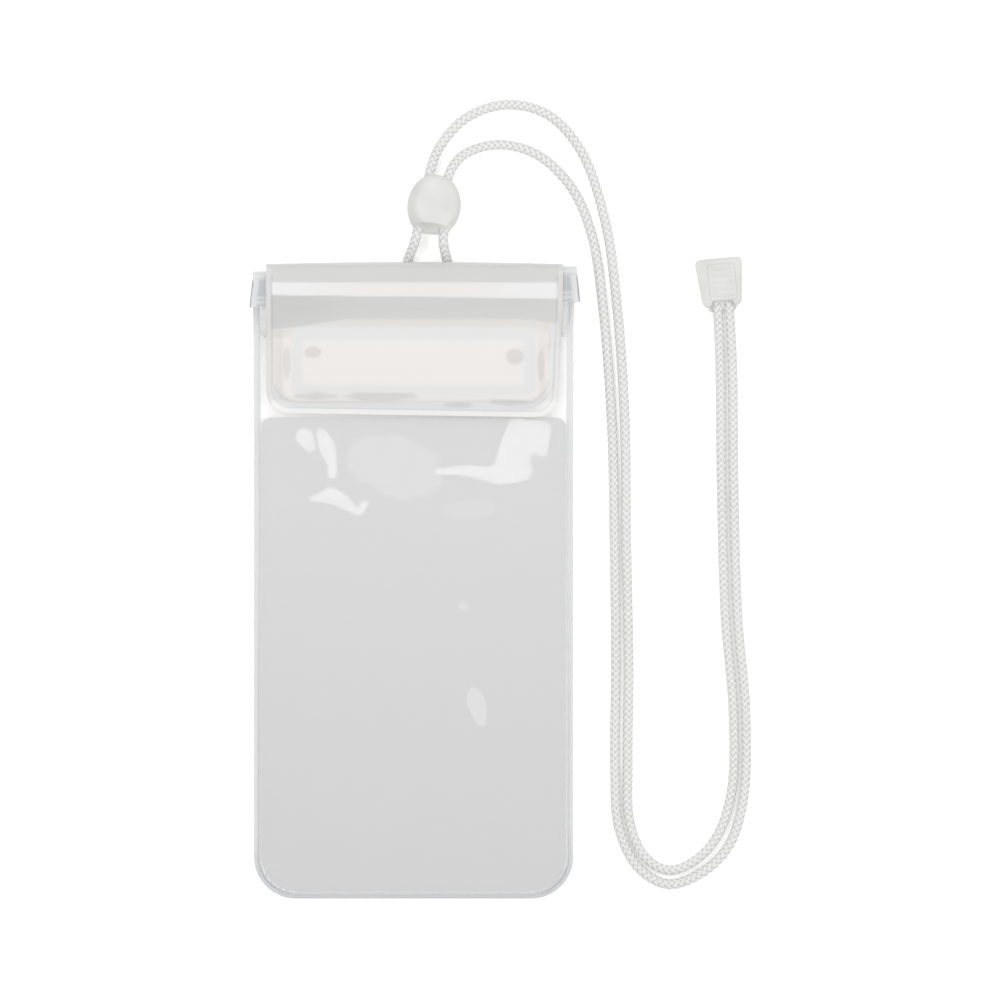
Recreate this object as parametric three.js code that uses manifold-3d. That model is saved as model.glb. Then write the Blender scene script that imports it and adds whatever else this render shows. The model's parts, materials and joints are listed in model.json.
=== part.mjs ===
// A waterproof pouch for a phone, lying on its back, with its neck cord laid out beside it.
// Lengths are in millimetres: X runs across the pouch, Y up its length and Z out of its front.
// The origin is on the surface that it lies on, under the middle of the pouch.
import * as THREE from 'three';
import { mergeVertices } from 'three/addons/utils/BufferGeometryUtils.js';
import Module from 'manifold-3d';

const wasm = await Module();
wasm.setup();

// Pouch outline
const pouchLength = 219;
const pouchWidth = 110;
const pouchCornerRadius = 14.5;
const filmThickness = 0.4;
const layerGap = 0.1;
const seamWidth = 1.7;
const seamStep = 0.8;
const windowPuff = 1.1;
const padPuff = 0.3;
const puffMargin = 11;

// Display sheet inside the window
const sheetThickness = 0.4;
const sheetTopDistance = 53.4;
const sheetTopRadius = 3.4;

// Mouth, folded forward over the press-to-close strip
const mouthFoldSlack = 2.4;
const mouthFoldRadius = 1;
const stripWidth = 9.4;
const stripOverhang = 1;
const stripBase = 0.5;
const stripHeight = 2.2;
const ribWidth = 0.9;
const ribOffset = 1.7;
const ribClearance = 0.3;
const mouthFlare = 0.3;
const lipLength = 11;
const lipInset = 2.3;
const lipCornerRadius = 3;

// Flap that folds over the mouth
const flapInset = 4;
const flapHemTaper = 0.7;
const flapDrift = 0.8;
const flapLength = 52.6;
const flapCornerRadius = 8;
const flapBackLeg = 25;
const liningTopDistance = 9.5;

// Hook and loop pad under the flap
const padTopDistance = 22.2;
const padFrameWidth = 84.7;
const padFrameHeight = 23.8;
const padFieldWidth = 76;
const padFieldHeight = 15.4;
const padFieldTopMargin = 4.6;
const padCornerRadius = 2.5;
const padBase = 0.5;
const padPile = 0.9;
const loopFrameHeight = 19;

// Neck cord and the tab that holds it behind the pouch
const cordDiameter = 3.6;
const cordClearance = 0.3;
const cordSides = 8;
const cordSteps = 80;
const tabCentreX = 4.8;
const tabWidth = 10;
const tabWeld = 5;
const tabRamp = 6.4;
const tabTunnel = 7;
const tabTopDistance = 7.1;
const riseStartDistance = 79.5;
const riseEndDistance = 21.5;

// Sliding bead on the cord
const beadDiameter = 18;
const beadLength = 18.8;
const beadTopFlat = 7.6;
const beadBottomFlat = 14;
const beadCentre = new THREE.Vector3(7.1, 128.2, 9.2);
const beadRoll = THREE.MathUtils.degToRad(8);
const beadTilt = THREE.MathUtils.degToRad(5);
const beadHoleDiameter = 4.6;
const beadHoleSpreadTop = 6.5;
const beadHoleSpreadBottom = 9;

// Two-part clip that joins the ends of the cord
const clipTopWidth = 15.6;
const clipBottomWidth = 12.8;
const clipHeight = 15.8;
const clipCornerRadius = 2;
const clipEdgeRadius = 0.7;
const clipThickness = 7;
const clipCentre = new THREE.Vector2(105.6, 102.3);
const clipTurn = THREE.MathUtils.degToRad(5.5);
const clipCollarWidth = 9.6;
const clipCollarHeight = 1.6;
const clipPanelWidth = 9.3;
const clipPanelHeight = 12.4;
const clipPanelRise = 0.5;
const clipRibCount = 5;
const clipRibPitch = 2.3;
const clipRibWidth = 6.9;
const clipRibSize = 0.7;
const clipPartingGap = 0.3;
const cordSpacing = 3.96;
const clipSocketDepth = 10;

// The cord's route, chosen by hand: from the clip, round the lower bend and over the outer arch,
// down through the bead, behind the flap through the tab, and back the same way beside itself
const cordPoints = [
  [103.8, 101.1, 3.5], [104.7, 92.5, 3.4], [105.5, 74.2, 1.8], [106, 31, 1.8],
  [107.3, -12, 1.8], [110.1, -46, 1.8], [109.4, -72.8, 1.8], [104.1, -88.6, 1.8],
  [96, -96.9, 1.8], [87.7, -99.6, 1.8], [79.6, -95, 1.8], [74.4, -83.1, 1.8],
  [73.7, -62, 1.8], [74, -30, 1.8], [73.2, 15, 1.8], [72.7, 55, 1.8],
  [70.2, 93, 1.8], [65.9, 124, 1.8], [57.6, 147.9, 1.8], [46.3, 160.3, 1.8],
  [32.2, 163.8, 1.8], [18.4, 159.4, 1.8], [9, 149.3, 3.2], [5.7, 140.6, 7.5],
  [4.6, 135.1, 8.6], [1.9, 122.4, 9.8], [0.7, 117.2, 9.2], [-2.5, 108.4, 2.9],
  [-3.7, 102.5, 2.3], [-4.3, 96, 2.5], [-1.2, 90.3, 2.5], [4.8, 88.1, 2.5],
  [10.8, 90.3, 2.5], [13.9, 96, 2.5], [13.2, 102.5, 2.3], [12, 108.4, 2.9],
  [10.3, 115.9, 9.2], [10.5, 121.2, 9.8], [11.4, 134.1, 8.6], [12.2, 139.6, 7.5],
  [17.2, 146.4, 3.4], [28.7, 150, 1.8], [42.3, 146.7, 1.8], [54.3, 135.3, 1.8],
  [61.3, 119, 1.8], [65.3, 92.8, 1.8], [68.3, 52, 1.8], [69.1, 15, 1.8],
  [69.6, -30, 1.8], [69.3, -64, 1.8], [70.7, -85.2, 1.8], [77.2, -98.6, 1.8],
  [87.7, -104.5, 1.8], [99.4, -100.4, 1.8], [108.4, -91.4, 1.8], [113.5, -75, 1.8],
  [114.3, -46, 1.8], [111.5, -12, 1.8], [110.2, 31, 1.8], [109.7, 74.2, 1.8],
  [108.6, 92.9, 3.4], [107.8, 101.5, 3.5],
];

// Fineness of the curved stretches
const arcSteps = 6;
const foldSteps = 8;
const riseSteps = 12;
const rampSteps = 5;
const edgeSteps = 2;
const roundSides = 24;
const holeSides = 16;
const ribSides = 8;

// Widths, measured from the pouch's own
const mouthTopWidth = pouchWidth + 2 * mouthFlare;
const stripLength = mouthTopWidth + 2 * stripOverhang;
const lipWidth = pouchWidth - 2 * lipInset;
const flapWidth = pouchWidth - 2 * flapInset;
const flapHemWidth = flapWidth - 2 * flapHemTaper;

// Places along Y, measured from the crest of the flap
const crestY = pouchLength / 2;
const bottomY = -pouchLength / 2;
const riseStartY = crestY - riseStartDistance;
const riseEndY = crestY - riseEndDistance;
const hemY = crestY - flapLength;
const padTopY = crestY - padTopDistance;
const padBottomY = padTopY - padFrameHeight;
const fieldTopY = padTopY - padFieldTopMargin;
const fieldBottomY = fieldTopY - padFieldHeight;
const sheetTopY = crestY - sheetTopDistance;

// Heights: the tab and the cord lift the top of the pouch off the surface
const risenHeight = 2 * filmThickness + cordDiameter + 2 * cordClearance + layerGap;
const layerPitch = filmThickness + layerGap;
const backLevel = filmThickness / 2;
const frontLevel = backLevel + layerPitch;
const sheetLift = sheetThickness + layerGap;
const foldedFrontZ = risenHeight + frontLevel + 2 * mouthFoldRadius;
const stripFloorZ = foldedFrontZ + filmThickness / 2 + layerGap;
const foldedBackZ = stripFloorZ + stripHeight + layerGap + filmThickness / 2;
const backFoldRadius = (foldedBackZ - risenHeight - backLevel) / 2;
const liningTopZ = foldedBackZ + layerPitch;
const flapTopZ = liningTopZ + layerPitch;
const flapBackZ = risenHeight - layerGap - filmThickness / 2;
const flapFoldRadius = (flapTopZ - flapBackZ) / 2;
const tapeThickness = padBase + padPile;
const padStack = 2 * tapeThickness + 2 * layerGap;

const flapFoldY = crestY - filmThickness / 2 - flapFoldRadius;
const mouthCrestY = crestY - filmThickness - mouthFoldSlack;
const backFoldY = mouthCrestY - filmThickness / 2 - backFoldRadius;
const stripTopY = backFoldY - layerGap;
const stripBottomY = stripTopY - stripWidth;
const lipEndY = stripBottomY - lipLength;

const smooth = (from, to, value) => THREE.MathUtils.smoothstep(value, from, to);
const blend = THREE.MathUtils.lerp;

// How far the pouch's back is off the surface at a place along its length
const riseAt = (y) => risenHeight * smooth(riseStartY, riseEndY, y);

// Height that the front film gains just inside its seam, to clear the sheet behind it
function stepAt(y) {
  const nearFold = 1 - smooth(lipEndY, stripTopY, y);
  return sheetLift * smooth(0, seamStep, y - bottomY - seamWidth) * nearFold;
}

// Further height that the front film gains towards the middle of the window or pad
function puffAt(y) {
  const nearFold = 1 - smooth(lipEndY, stripTopY, y);
  const tallest = blend(windowPuff, padPuff, smooth(hemY - puffMargin, hemY, y));
  return tallest * smooth(0, puffMargin, y - bottomY - seamWidth) * nearFold;
}

const frontTopAt = (y) => riseAt(y) + frontLevel + filmThickness / 2 + stepAt(y) + puffAt(y);

// Mid-height of the flap's lining: over the folded mouth, then the pad, then down to the hem
function liningAt(y) {
  const onPad = padStack * smooth(hemY, padBottomY, y);
  const low = frontTopAt(y) + layerPitch - filmThickness / 2 + onPad;
  return blend(low, liningTopZ, smooth(padTopY, stripBottomY, y));
}

// A sheet is a slab cut into a grid, with each corner of the grid put in its place.
// place(column, row, side) gives that corner, with side -1 for the back and 1 for the front.
function gridSheet(columnCount, rowCount, place) {
  const slab = new THREE.BoxGeometry(1, 1, 1, columnCount - 1, rowCount - 1, 1);
  const corners = slab.attributes.position;
  for (let index = 0; index < corners.count; index += 1) {
    const column = Math.round((corners.getX(index) + 0.5) * (columnCount - 1));
    const row = Math.round((corners.getY(index) + 0.5) * (rowCount - 1));
    corners.setXYZ(index, ...place(column, row, Math.sign(corners.getZ(index))));
  }
  return slab;
}

// Distances from an edge at which the rows of a rounded corner lie
const cornerDistances = (radius) => Array.from(
  { length: arcSteps + 1 },
  (_, step) => radius * (1 - Math.cos((step / arcSteps) * Math.PI / 2)),
);

// How much a rounded corner narrows each side at a distance from the edge
const cornerInset = (radius, distance) => (distance >= radius
  ? 0
  : radius - Math.sqrt(radius ** 2 - (radius - distance) ** 2));

const evenSteps = (from, to, count) => Array.from(
  { length: count + 1 },
  (_, step) => blend(from, to, step / count),
);

// A film that follows a path in the YZ plane, or lies outside that path by a distance. Each row
// has y, z, half its width, and optionally step and puff, its extra height inside the seams, and
// drift, its shift along X.
function foldedFilm(rows, insets, thickness, outside = 0) {
  const lastRow = rows.length - 1;
  return gridSheet(insets.length * 2 - 1, rows.length, (column, index, side) => {
    const row = rows[index];
    const before = rows[Math.max(index - 1, 0)];
    const after = rows[Math.min(index + 1, lastRow)];
    const run = Math.hypot(after.y - before.y, after.z - before.z);
    const offset = side * thickness / 2 - outside;
    const fromCentre = column - (insets.length - 1);
    const inset = insets[insets.length - 1 - Math.abs(fromCentre)];
    const reach = fromCentre === 0 ? 0 : Math.sign(fromCentre) * (row.half - inset);
    const overSeam = smooth(seamWidth, seamWidth + seamStep, inset);
    const overWindow = smooth(seamWidth, seamWidth + puffMargin, inset);
    const lift = (row.step ?? 0) * overSeam + (row.puff ?? 0) * overWindow;
    return [
      reach + (row.drift ?? 0),
      row.y - offset * (after.z - before.z) / run,
      row.z + lift + offset * (after.y - before.y) / run,
    ];
  });
}

// A layer that lies between two heights, each given as a function of place
function flatLayer(xs, ys, insetAt, under, over) {
  return gridSheet(xs.length, ys.length, (column, row, side) => {
    const x = xs[column];
    const y = ys[row];
    const narrowed = Math.sign(x) * Math.min(Math.abs(x), xs[xs.length - 1] - insetAt(y));
    return [narrowed, y, side < 0 ? under(x, y) : over(x, y)];
  });
}

const parts = new THREE.Group();

function addPart(name, geometry, material) {
  const mesh = new THREE.Mesh(geometry, new THREE.MeshStandardMaterial(material));
  mesh.name = name;
  parts.add(mesh);
  return mesh;
}

const halfRow = (y, z, half, more = {}) => ({ y, z, half, ...more });

// The two films of the bag: flat window, rise, fold at the mouth, strip and lips
const bottomDistances = [
  ...cornerDistances(pouchCornerRadius), seamWidth, seamWidth + seamStep, seamWidth + puffMargin,
].sort((first, second) => first - second);
const riseStations = evenSteps(riseStartY, riseEndY, riseSteps);

function bagRows(level, foldRadius, foldedZ, lipLayer, withPuff) {
  const raised = (y) => (withPuff ? { step: stepAt(y), puff: puffAt(y) } : {});
  const rows = bottomDistances.map((distance) => {
    const y = bottomY + distance;
    const half = pouchWidth / 2 - cornerInset(pouchCornerRadius, distance);
    return halfRow(y, level + riseAt(y), half, raised(y));
  });
  const middle = bottomY + pouchCornerRadius;
  const flatStations = [
    ...evenSteps(middle, riseStartY, 3).slice(1, -1),
    ...riseStations,
    ...evenSteps(riseEndY, backFoldY, rampSteps).slice(1, -1),
  ];
  flatStations.forEach((y) => {
    const half = blend(pouchWidth, mouthTopWidth, smooth(lipEndY, backFoldY, y)) / 2;
    rows.push(halfRow(y, level + riseAt(y), half, raised(y)));
  });
  const foldCentreZ = foldedZ - foldRadius;
  evenSteps(-Math.PI / 2, Math.PI / 2, foldSteps).forEach((angle) => {
    const y = backFoldY + foldRadius * Math.cos(angle);
    rows.push(halfRow(y, foldCentreZ + foldRadius * Math.sin(angle), mouthTopWidth / 2));
  });
  rows.push(halfRow(stripBottomY, foldedZ, stripLength / 2));
  const lipZ = (y) => {
    const resting = frontTopAt(y) + lipLayer * layerPitch - filmThickness / 2;
    return blend(resting, foldedZ, smooth(lipEndY, stripBottomY, y));
  };
  const lipStart = stripBottomY - layerPitch;
  const lipRound = lipEndY + lipCornerRadius;
  evenSteps(lipStart, lipRound, rampSteps).slice(0, -1).forEach((y) => {
    rows.push(halfRow(y, lipZ(y), lipWidth / 2));
  });
  cornerDistances(lipCornerRadius).reverse().forEach((distance) => {
    const y = lipEndY + distance;
    rows.push(halfRow(y, lipZ(y), lipWidth / 2 - cornerInset(lipCornerRadius, distance)));
  });
  return rows;
}

const windowInsets = [
  0, seamWidth, seamWidth + seamStep, seamWidth + puffMargin / 2, seamWidth + puffMargin,
  pouchWidth / 4, pouchWidth / 2,
];
const plainInsets = [0, pouchWidth / 2];
const clearFilm = { color: 0xf1f5f6, roughness: 0.12, metalness: 0, transparent: true, opacity: 0.35 };
const frostedFilm = { ...clearFilm, color: 0xe6e8e8, roughness: 0.35, opacity: 0.6 };

const backRows = bagRows(backLevel, backFoldRadius, foldedBackZ, 2, false);
const frontRows = bagRows(frontLevel, mouthFoldRadius, foldedFrontZ, 1, true);
addPart('back_film', foldedFilm(backRows, plainInsets, filmThickness), clearFilm);
addPart('front_film', foldedFilm(frontRows, windowInsets, filmThickness), clearFilm);

// The sheet inside the window, cut to follow the seam
const sheetInset = seamWidth + seamStep + layerGap;
const sheetHalf = pouchWidth / 2 - sheetInset;
const sheetBottomY = bottomY + sheetInset;
const sheetBottomRadius = pouchCornerRadius - sheetInset;
const sheetStations = [
  ...cornerDistances(sheetBottomRadius).map((distance) => sheetBottomY + distance),
  ...riseStations.filter((y) => y < sheetTopY - sheetTopRadius),
  ...cornerDistances(sheetTopRadius).reverse().map((distance) => sheetTopY - distance),
];
const sheetUnder = (x, y) => riseAt(y) + layerPitch;
addPart('window_sheet', flatLayer(
  [-sheetHalf, sheetHalf],
  sheetStations,
  (y) => cornerInset(sheetBottomRadius, y - sheetBottomY) + cornerInset(sheetTopRadius, sheetTopY - y),
  sheetUnder,
  (x, y) => sheetUnder(x, y) + sheetThickness,
), { color: 0xd6d7d7, roughness: 0.6, metalness: 0 });

// Press-to-close strips: ribs on one press between the walls of the other
function stripProfile(baseZ, toothZ, teeth) {
  const half = stripWidth / 2;
  const profile = new THREE.Shape();
  profile.moveTo(-half, baseZ);
  teeth.forEach((tooth) => {
    profile.lineTo(tooth - ribWidth / 2, baseZ);
    profile.lineTo(tooth - ribWidth / 2, toothZ);
    profile.lineTo(tooth + ribWidth / 2, toothZ);
    profile.lineTo(tooth + ribWidth / 2, baseZ);
  });
  profile.lineTo(half, baseZ);
  const outerZ = baseZ < toothZ ? baseZ - stripBase : baseZ + stripBase;
  profile.lineTo(half, outerZ);
  profile.lineTo(-half, outerZ);
  return profile;
}

// Profiles are drawn in Y and Z and run along X
function alongX(profile, length) {
  const body = new THREE.ExtrudeGeometry(profile, { depth: length, bevelEnabled: false });
  const axes = new THREE.Matrix4().makeBasis(
    new THREE.Vector3(0, 1, 0), new THREE.Vector3(0, 0, 1), new THREE.Vector3(1, 0, 0),
  );
  return body.translate(0, 0, -length / 2).applyMatrix4(axes);
}

const ribFloor = stripBase;
const wallCeiling = stripHeight - stripBase;
const ribTeeth = [-ribOffset, ribOffset];
const wallTeeth = [-2 * ribOffset, 0, 2 * ribOffset];
const ribProfile = stripProfile(ribFloor, wallCeiling - ribClearance, ribTeeth);
const wallProfile = stripProfile(wallCeiling, ribFloor + ribClearance, wallTeeth);
const stripCentreY = (stripTopY + stripBottomY) / 2;
const stripPlastic = { color: 0xdfe9ef, roughness: 0.15, metalness: 0, transparent: true, opacity: 0.5 };
[['strip_with_ribs', ribProfile], ['strip_with_grooves', wallProfile]].forEach(([name, profile]) => {
  const strip = addPart(name, alongX(profile, stripLength), stripPlastic);
  strip.position.set(0, stripCentreY, stripFloorZ);
});

// The flap: its outer film runs up the back, over the mouth and down the front, over a lining
const driftAt = (y) => flapDrift * (smooth(hemY, flapFoldY, y) - 1 / 2);
const flapHalfAt = (y) => blend(flapHemWidth, flapWidth, smooth(hemY, flapFoldY, y)) / 2;

function frontLeg(topY) {
  const stations = [
    ...(topY > stripBottomY ? [topY] : []),
    ...evenSteps(stripBottomY, padTopY, rampSteps),
    ...riseStations.filter((y) => y < padTopY && y > hemY + flapCornerRadius).reverse(),
    ...cornerDistances(flapCornerRadius).reverse().map((distance) => hemY + distance),
  ];
  return stations.map((y) => halfRow(
    y,
    liningAt(y),
    flapHalfAt(y) - cornerInset(flapCornerRadius, y - hemY),
    { drift: driftAt(y) },
  ));
}

const atTop = { drift: flapDrift / 2 };
const backLegRows = [crestY - flapBackLeg, riseEndY]
  .map((y) => halfRow(y, riseAt(y) + backLevel, flapWidth / 2, atTop));
const liningFoldRadius = flapFoldRadius - layerPitch;
const flapFoldRows = evenSteps(-Math.PI / 2, Math.PI / 2, foldSteps).map((angle) => halfRow(
  flapFoldY + liningFoldRadius * Math.cos(angle),
  liningTopZ - liningFoldRadius + liningFoldRadius * Math.sin(angle),
  flapWidth / 2,
  atTop,
));
const flapRows = [...backLegRows, ...flapFoldRows, ...frontLeg(stripBottomY)];
const liningRows = frontLeg(crestY - liningTopDistance);
addPart('flap_outer_film', foldedFilm(flapRows, plainInsets, filmThickness, layerPitch), frostedFilm);
addPart('flap_lining_film', foldedFilm(liningRows, plainInsets, filmThickness), clearFilm);

// Hook and loop pad: each half is a welded frame with a raised field of pile
const frameHalf = padFrameWidth / 2;
const fieldHalf = padFieldWidth / 2;
const padXs = [-frameHalf, -fieldHalf - layerGap, -fieldHalf, fieldHalf, fieldHalf + layerGap, frameHalf];

function padHalf(bottom, top, under, over) {
  const inner = [fieldBottomY - layerGap, fieldBottomY, fieldTopY, fieldTopY + layerGap];
  const ys = [
    ...cornerDistances(padCornerRadius).map((distance) => bottom + distance),
    ...inner,
    ...riseStations.filter((y) => y > bottom + padCornerRadius && y < top - padCornerRadius),
    ...cornerDistances(padCornerRadius).reverse().map((distance) => top - distance),
  ].sort((first, second) => first - second);
  const insetAt = (y) => cornerInset(padCornerRadius, y - bottom) + cornerInset(padCornerRadius, top - y);
  return flatLayer(padXs, ys, insetAt, under, over);
}

const inField = (x, y) => Math.abs(x) <= fieldHalf && y >= fieldBottomY && y <= fieldTopY;
const tapeHeight = (x, y) => (inField(x, y) ? tapeThickness : padBase);
const loopUnder = (x, y) => frontTopAt(y) + layerGap;
const hookOver = (x, y) => frontTopAt(y) + padStack;
const loopTopY = lipEndY - 2 * layerGap;
const tapeFabric = { color: 0xf4f0ec, roughness: 0.95, metalness: 0 };
addPart('loop_tape', padHalf(
  loopTopY - loopFrameHeight,
  loopTopY,
  loopUnder,
  (x, y) => loopUnder(x, y) + tapeHeight(x, y),
), tapeFabric);
addPart('hook_tape', padHalf(
  padBottomY,
  padTopY,
  (x, y) => hookOver(x, y) - tapeHeight(x, y),
  hookOver,
), tapeFabric);

// The tab behind the pouch: welded above and below, with a tunnel for the cord between
const tabTopY = crestY - tabTopDistance;
const tunnelTopY = tabTopY - tabWeld - tabRamp;
const tunnelBottomY = tunnelTopY - tabTunnel;
const tabBottomY = tunnelBottomY - tabRamp - tabWeld;
const tabFloor = filmThickness / 2;
const underBack = (y) => riseAt(y) - layerPitch + filmThickness / 2;
const tabRows = [
  tabBottomY,
  ...evenSteps(tunnelBottomY - tabRamp, tunnelBottomY, rampSteps),
  ...evenSteps(tunnelTopY, tunnelTopY + tabRamp, rampSteps),
  tabTopY,
].map((y) => {
  const upper = y > tunnelTopY ? underBack(y) - layerPitch : underBack(y);
  const lowering = y > tunnelTopY
    ? smooth(tunnelTopY, tunnelTopY + tabRamp, y)
    : 1 - smooth(tunnelBottomY - tabRamp, tunnelBottomY, y);
  return halfRow(y, blend(tabFloor, upper, lowering), tabWidth / 2, { drift: tabCentreX });
});
addPart('cord_tab', foldedFilm(tabRows, [0, tabWidth / 2], filmThickness), frostedFilm);

// Solids for cutting and joining are built from meshes whose shared corners are merged
function solidOf(geometry) {
  const bare = new THREE.BufferGeometry();
  bare.setAttribute('position', geometry.attributes.position);
  bare.setIndex(geometry.index);
  const merged = mergeVertices(bare, 1e-4);
  return new wasm.Manifold(new wasm.Mesh({
    numProp: 3,
    vertProperties: new Float32Array(merged.attributes.position.array),
    triVerts: new Uint32Array(merged.index.array),
  }));
}

function geometryOf(solid) {
  const mesh = solid.getMesh();
  const geometry = new THREE.BufferGeometry();
  geometry.setAttribute('position', new THREE.BufferAttribute(mesh.vertProperties, 3));
  geometry.setIndex(new THREE.BufferAttribute(mesh.triVerts, 1));
  geometry.computeVertexNormals();
  return geometry;
}

// The bead: two half ellipses turned about its length, flat at both ends, with two holes
const beadHalf = beadLength / 2;
const beadRadius = beadDiameter / 2;
const bulge = (flat) => beadHalf / Math.sqrt(1 - (flat / beadDiameter) ** 2);
const beadProfile = [new THREE.Vector2(0, -beadHalf)];
evenSteps(-beadHalf, beadHalf, 2 * arcSteps).forEach((along) => {
  const semiAxis = along < 0 ? bulge(beadBottomFlat) : bulge(beadTopFlat);
  const radius = beadRadius * Math.sqrt(1 - (along / semiAxis) ** 2);
  beadProfile.push(new THREE.Vector2(radius, along));
});
beadProfile.push(new THREE.Vector2(0, beadHalf));
let beadSolid = solidOf(new THREE.LatheGeometry(beadProfile, roundSides));
const holeLean = Math.atan((beadHoleSpreadBottom - beadHoleSpreadTop) / 2 / beadLength);
[-1, 1].forEach((side) => {
  const hole = new THREE.CylinderGeometry(
    beadHoleDiameter / 2, beadHoleDiameter / 2, 2 * beadLength, holeSides,
  );
  hole.rotateZ(side * holeLean);
  hole.translate(side * (beadHoleSpreadBottom + beadHoleSpreadTop) / 4, 0, 0);
  beadSolid = beadSolid.subtract(solidOf(hole));
});
const palePlastic = { color: 0xeceeec, roughness: 0.45, metalness: 0 };
const bead = addPart('slider_bead', geometryOf(beadSolid), palePlastic);
bead.position.copy(beadCentre);
bead.rotation.set(-beadTilt, 0, -beadRoll, 'ZYX');

// The clip: a tapered block with a collar, a ribbed panel and a socket for both ends of the cord
function roundedOutline(corners, radius) {
  const outline = new THREE.Shape();
  corners.forEach((corner, index) => {
    const before = corners[(index + corners.length - 1) % corners.length];
    const after = corners[(index + 1) % corners.length];
    const entry = corner.clone().add(before.clone().sub(corner).setLength(radius));
    const exit = corner.clone().add(after.clone().sub(corner).setLength(radius));
    if (index === 0) {
      outline.moveTo(entry.x, entry.y);
    } else {
      outline.lineTo(entry.x, entry.y);
    }
    outline.quadraticCurveTo(corner.x, corner.y, exit.x, exit.y);
  });
  outline.closePath();
  return outline;
}

function boxBetween(low, high) {
  const size = new THREE.Vector3().subVectors(high, low);
  const box = new THREE.BoxGeometry(size.x, size.y, size.z);
  return solidOf(box.translate(...low.clone().add(high).multiplyScalar(1 / 2).toArray()));
}

const clipTopHalf = clipTopWidth / 2 - clipEdgeRadius;
const clipBottomHalf = clipBottomWidth / 2 - clipEdgeRadius;
const clipSide = clipHeight / 2 - clipEdgeRadius;
const clipOutline = roundedOutline([
  new THREE.Vector2(-clipBottomHalf, -clipSide),
  new THREE.Vector2(clipBottomHalf, -clipSide),
  new THREE.Vector2(clipTopHalf, clipSide),
  new THREE.Vector2(-clipTopHalf, clipSide),
], clipCornerRadius);
const clipBody = new THREE.ExtrudeGeometry(clipOutline, {
  depth: clipThickness - 2 * clipEdgeRadius,
  bevelThickness: clipEdgeRadius,
  bevelSize: clipEdgeRadius,
  bevelSegments: edgeSteps,
  curveSegments: edgeSteps * 2,
}).translate(0, 0, clipEdgeRadius);
const clipMiddleZ = clipThickness / 2;
const collarBottomY = -clipHeight / 2 - clipCollarHeight;
const collarHalfHeight = cordDiameter / 2 + 2 * cordClearance;
const panelHalf = clipPanelWidth / 2;
const panelBottomY = -clipPanelHeight / 2;
const panelTopZ = clipThickness + clipPanelRise;
let clipSolid = solidOf(clipBody)
  .add(boxBetween(
    new THREE.Vector3(-clipCollarWidth / 2, collarBottomY, clipMiddleZ - collarHalfHeight),
    new THREE.Vector3(clipCollarWidth / 2, -clipSide, clipMiddleZ + collarHalfHeight),
  ))
  .add(boxBetween(
    new THREE.Vector3(-panelHalf, panelBottomY, clipMiddleZ + collarHalfHeight),
    new THREE.Vector3(panelHalf, -panelBottomY, panelTopZ),
  ));
for (let rib = 0; rib < clipRibCount; rib += 1) {
  const ribY = (rib - (clipRibCount - 1) / 2) * clipRibPitch;
  const ribBody = new THREE.CylinderGeometry(clipRibSize / 2, clipRibSize / 2, clipRibWidth, ribSides);
  ribBody.rotateZ(Math.PI / 2).translate(0, ribY, panelTopZ);
  clipSolid = clipSolid.add(solidOf(ribBody));
}
[-1, 1].forEach((side) => {
  const socketRadius = cordDiameter / 2 + cordClearance;
  const socketLength = clipSocketDepth + clipCollarHeight;
  const socket = new THREE.CylinderGeometry(socketRadius, socketRadius, socketLength, holeSides);
  const socketY = collarBottomY + (clipSocketDepth - clipCollarHeight) / 2;
  socket.translate(side * cordSpacing / 2, socketY, clipMiddleZ);
  clipSolid = clipSolid.subtract(solidOf(socket));
});
const clipGroup = new THREE.Group();
clipGroup.position.set(clipCentre.x, clipCentre.y, 0);
clipGroup.rotation.z = clipTurn;
parts.add(clipGroup);
const cutterReach = clipHeight + clipTopWidth;
[['clip_back', -1], ['clip_front', 1]].forEach(([name, side]) => {
  const partingZ = clipMiddleZ + side * clipPartingGap / 2;
  const farZ = partingZ + side * cutterReach;
  const keep = boxBetween(
    new THREE.Vector3(-cutterReach, -cutterReach, Math.min(partingZ, farZ)),
    new THREE.Vector3(cutterReach, cutterReach, Math.max(partingZ, farZ)),
  );
  clipGroup.add(addPart(name, geometryOf(clipSolid.intersect(keep)), palePlastic));
});

// The neck cord: one braided cord, whose steps fall evenly between the chosen points, so that
// they are closest where it bends most. It never sinks below the surface it lies on.
class LaidCurve extends THREE.CatmullRomCurve3 {
  getUtoTmapping(fraction) {
    return fraction;
  }

  getPoint(fraction, target = new THREE.Vector3()) {
    super.getPoint(fraction, target);
    target.z = Math.max(target.z, cordDiameter / 2);
    return target;
  }
}

const route = new LaidCurve(
  cordPoints.map(([x, y, z]) => new THREE.Vector3(x, y, z)), false, 'centripetal',
);
const cordSection = new THREE.Shape(evenSteps(0, 2 * Math.PI, cordSides).slice(0, -1).map(
  (angle) => new THREE.Vector2(Math.cos(angle), Math.sin(angle)).multiplyScalar(cordDiameter / 2),
));
const cordBody = new THREE.ExtrudeGeometry(cordSection, { steps: cordSteps, extrudePath: route });
addPart('neck_cord', cordBody, { color: 0xf0f0ee, roughness: 0.9, metalness: 0 });

export default parts;
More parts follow.
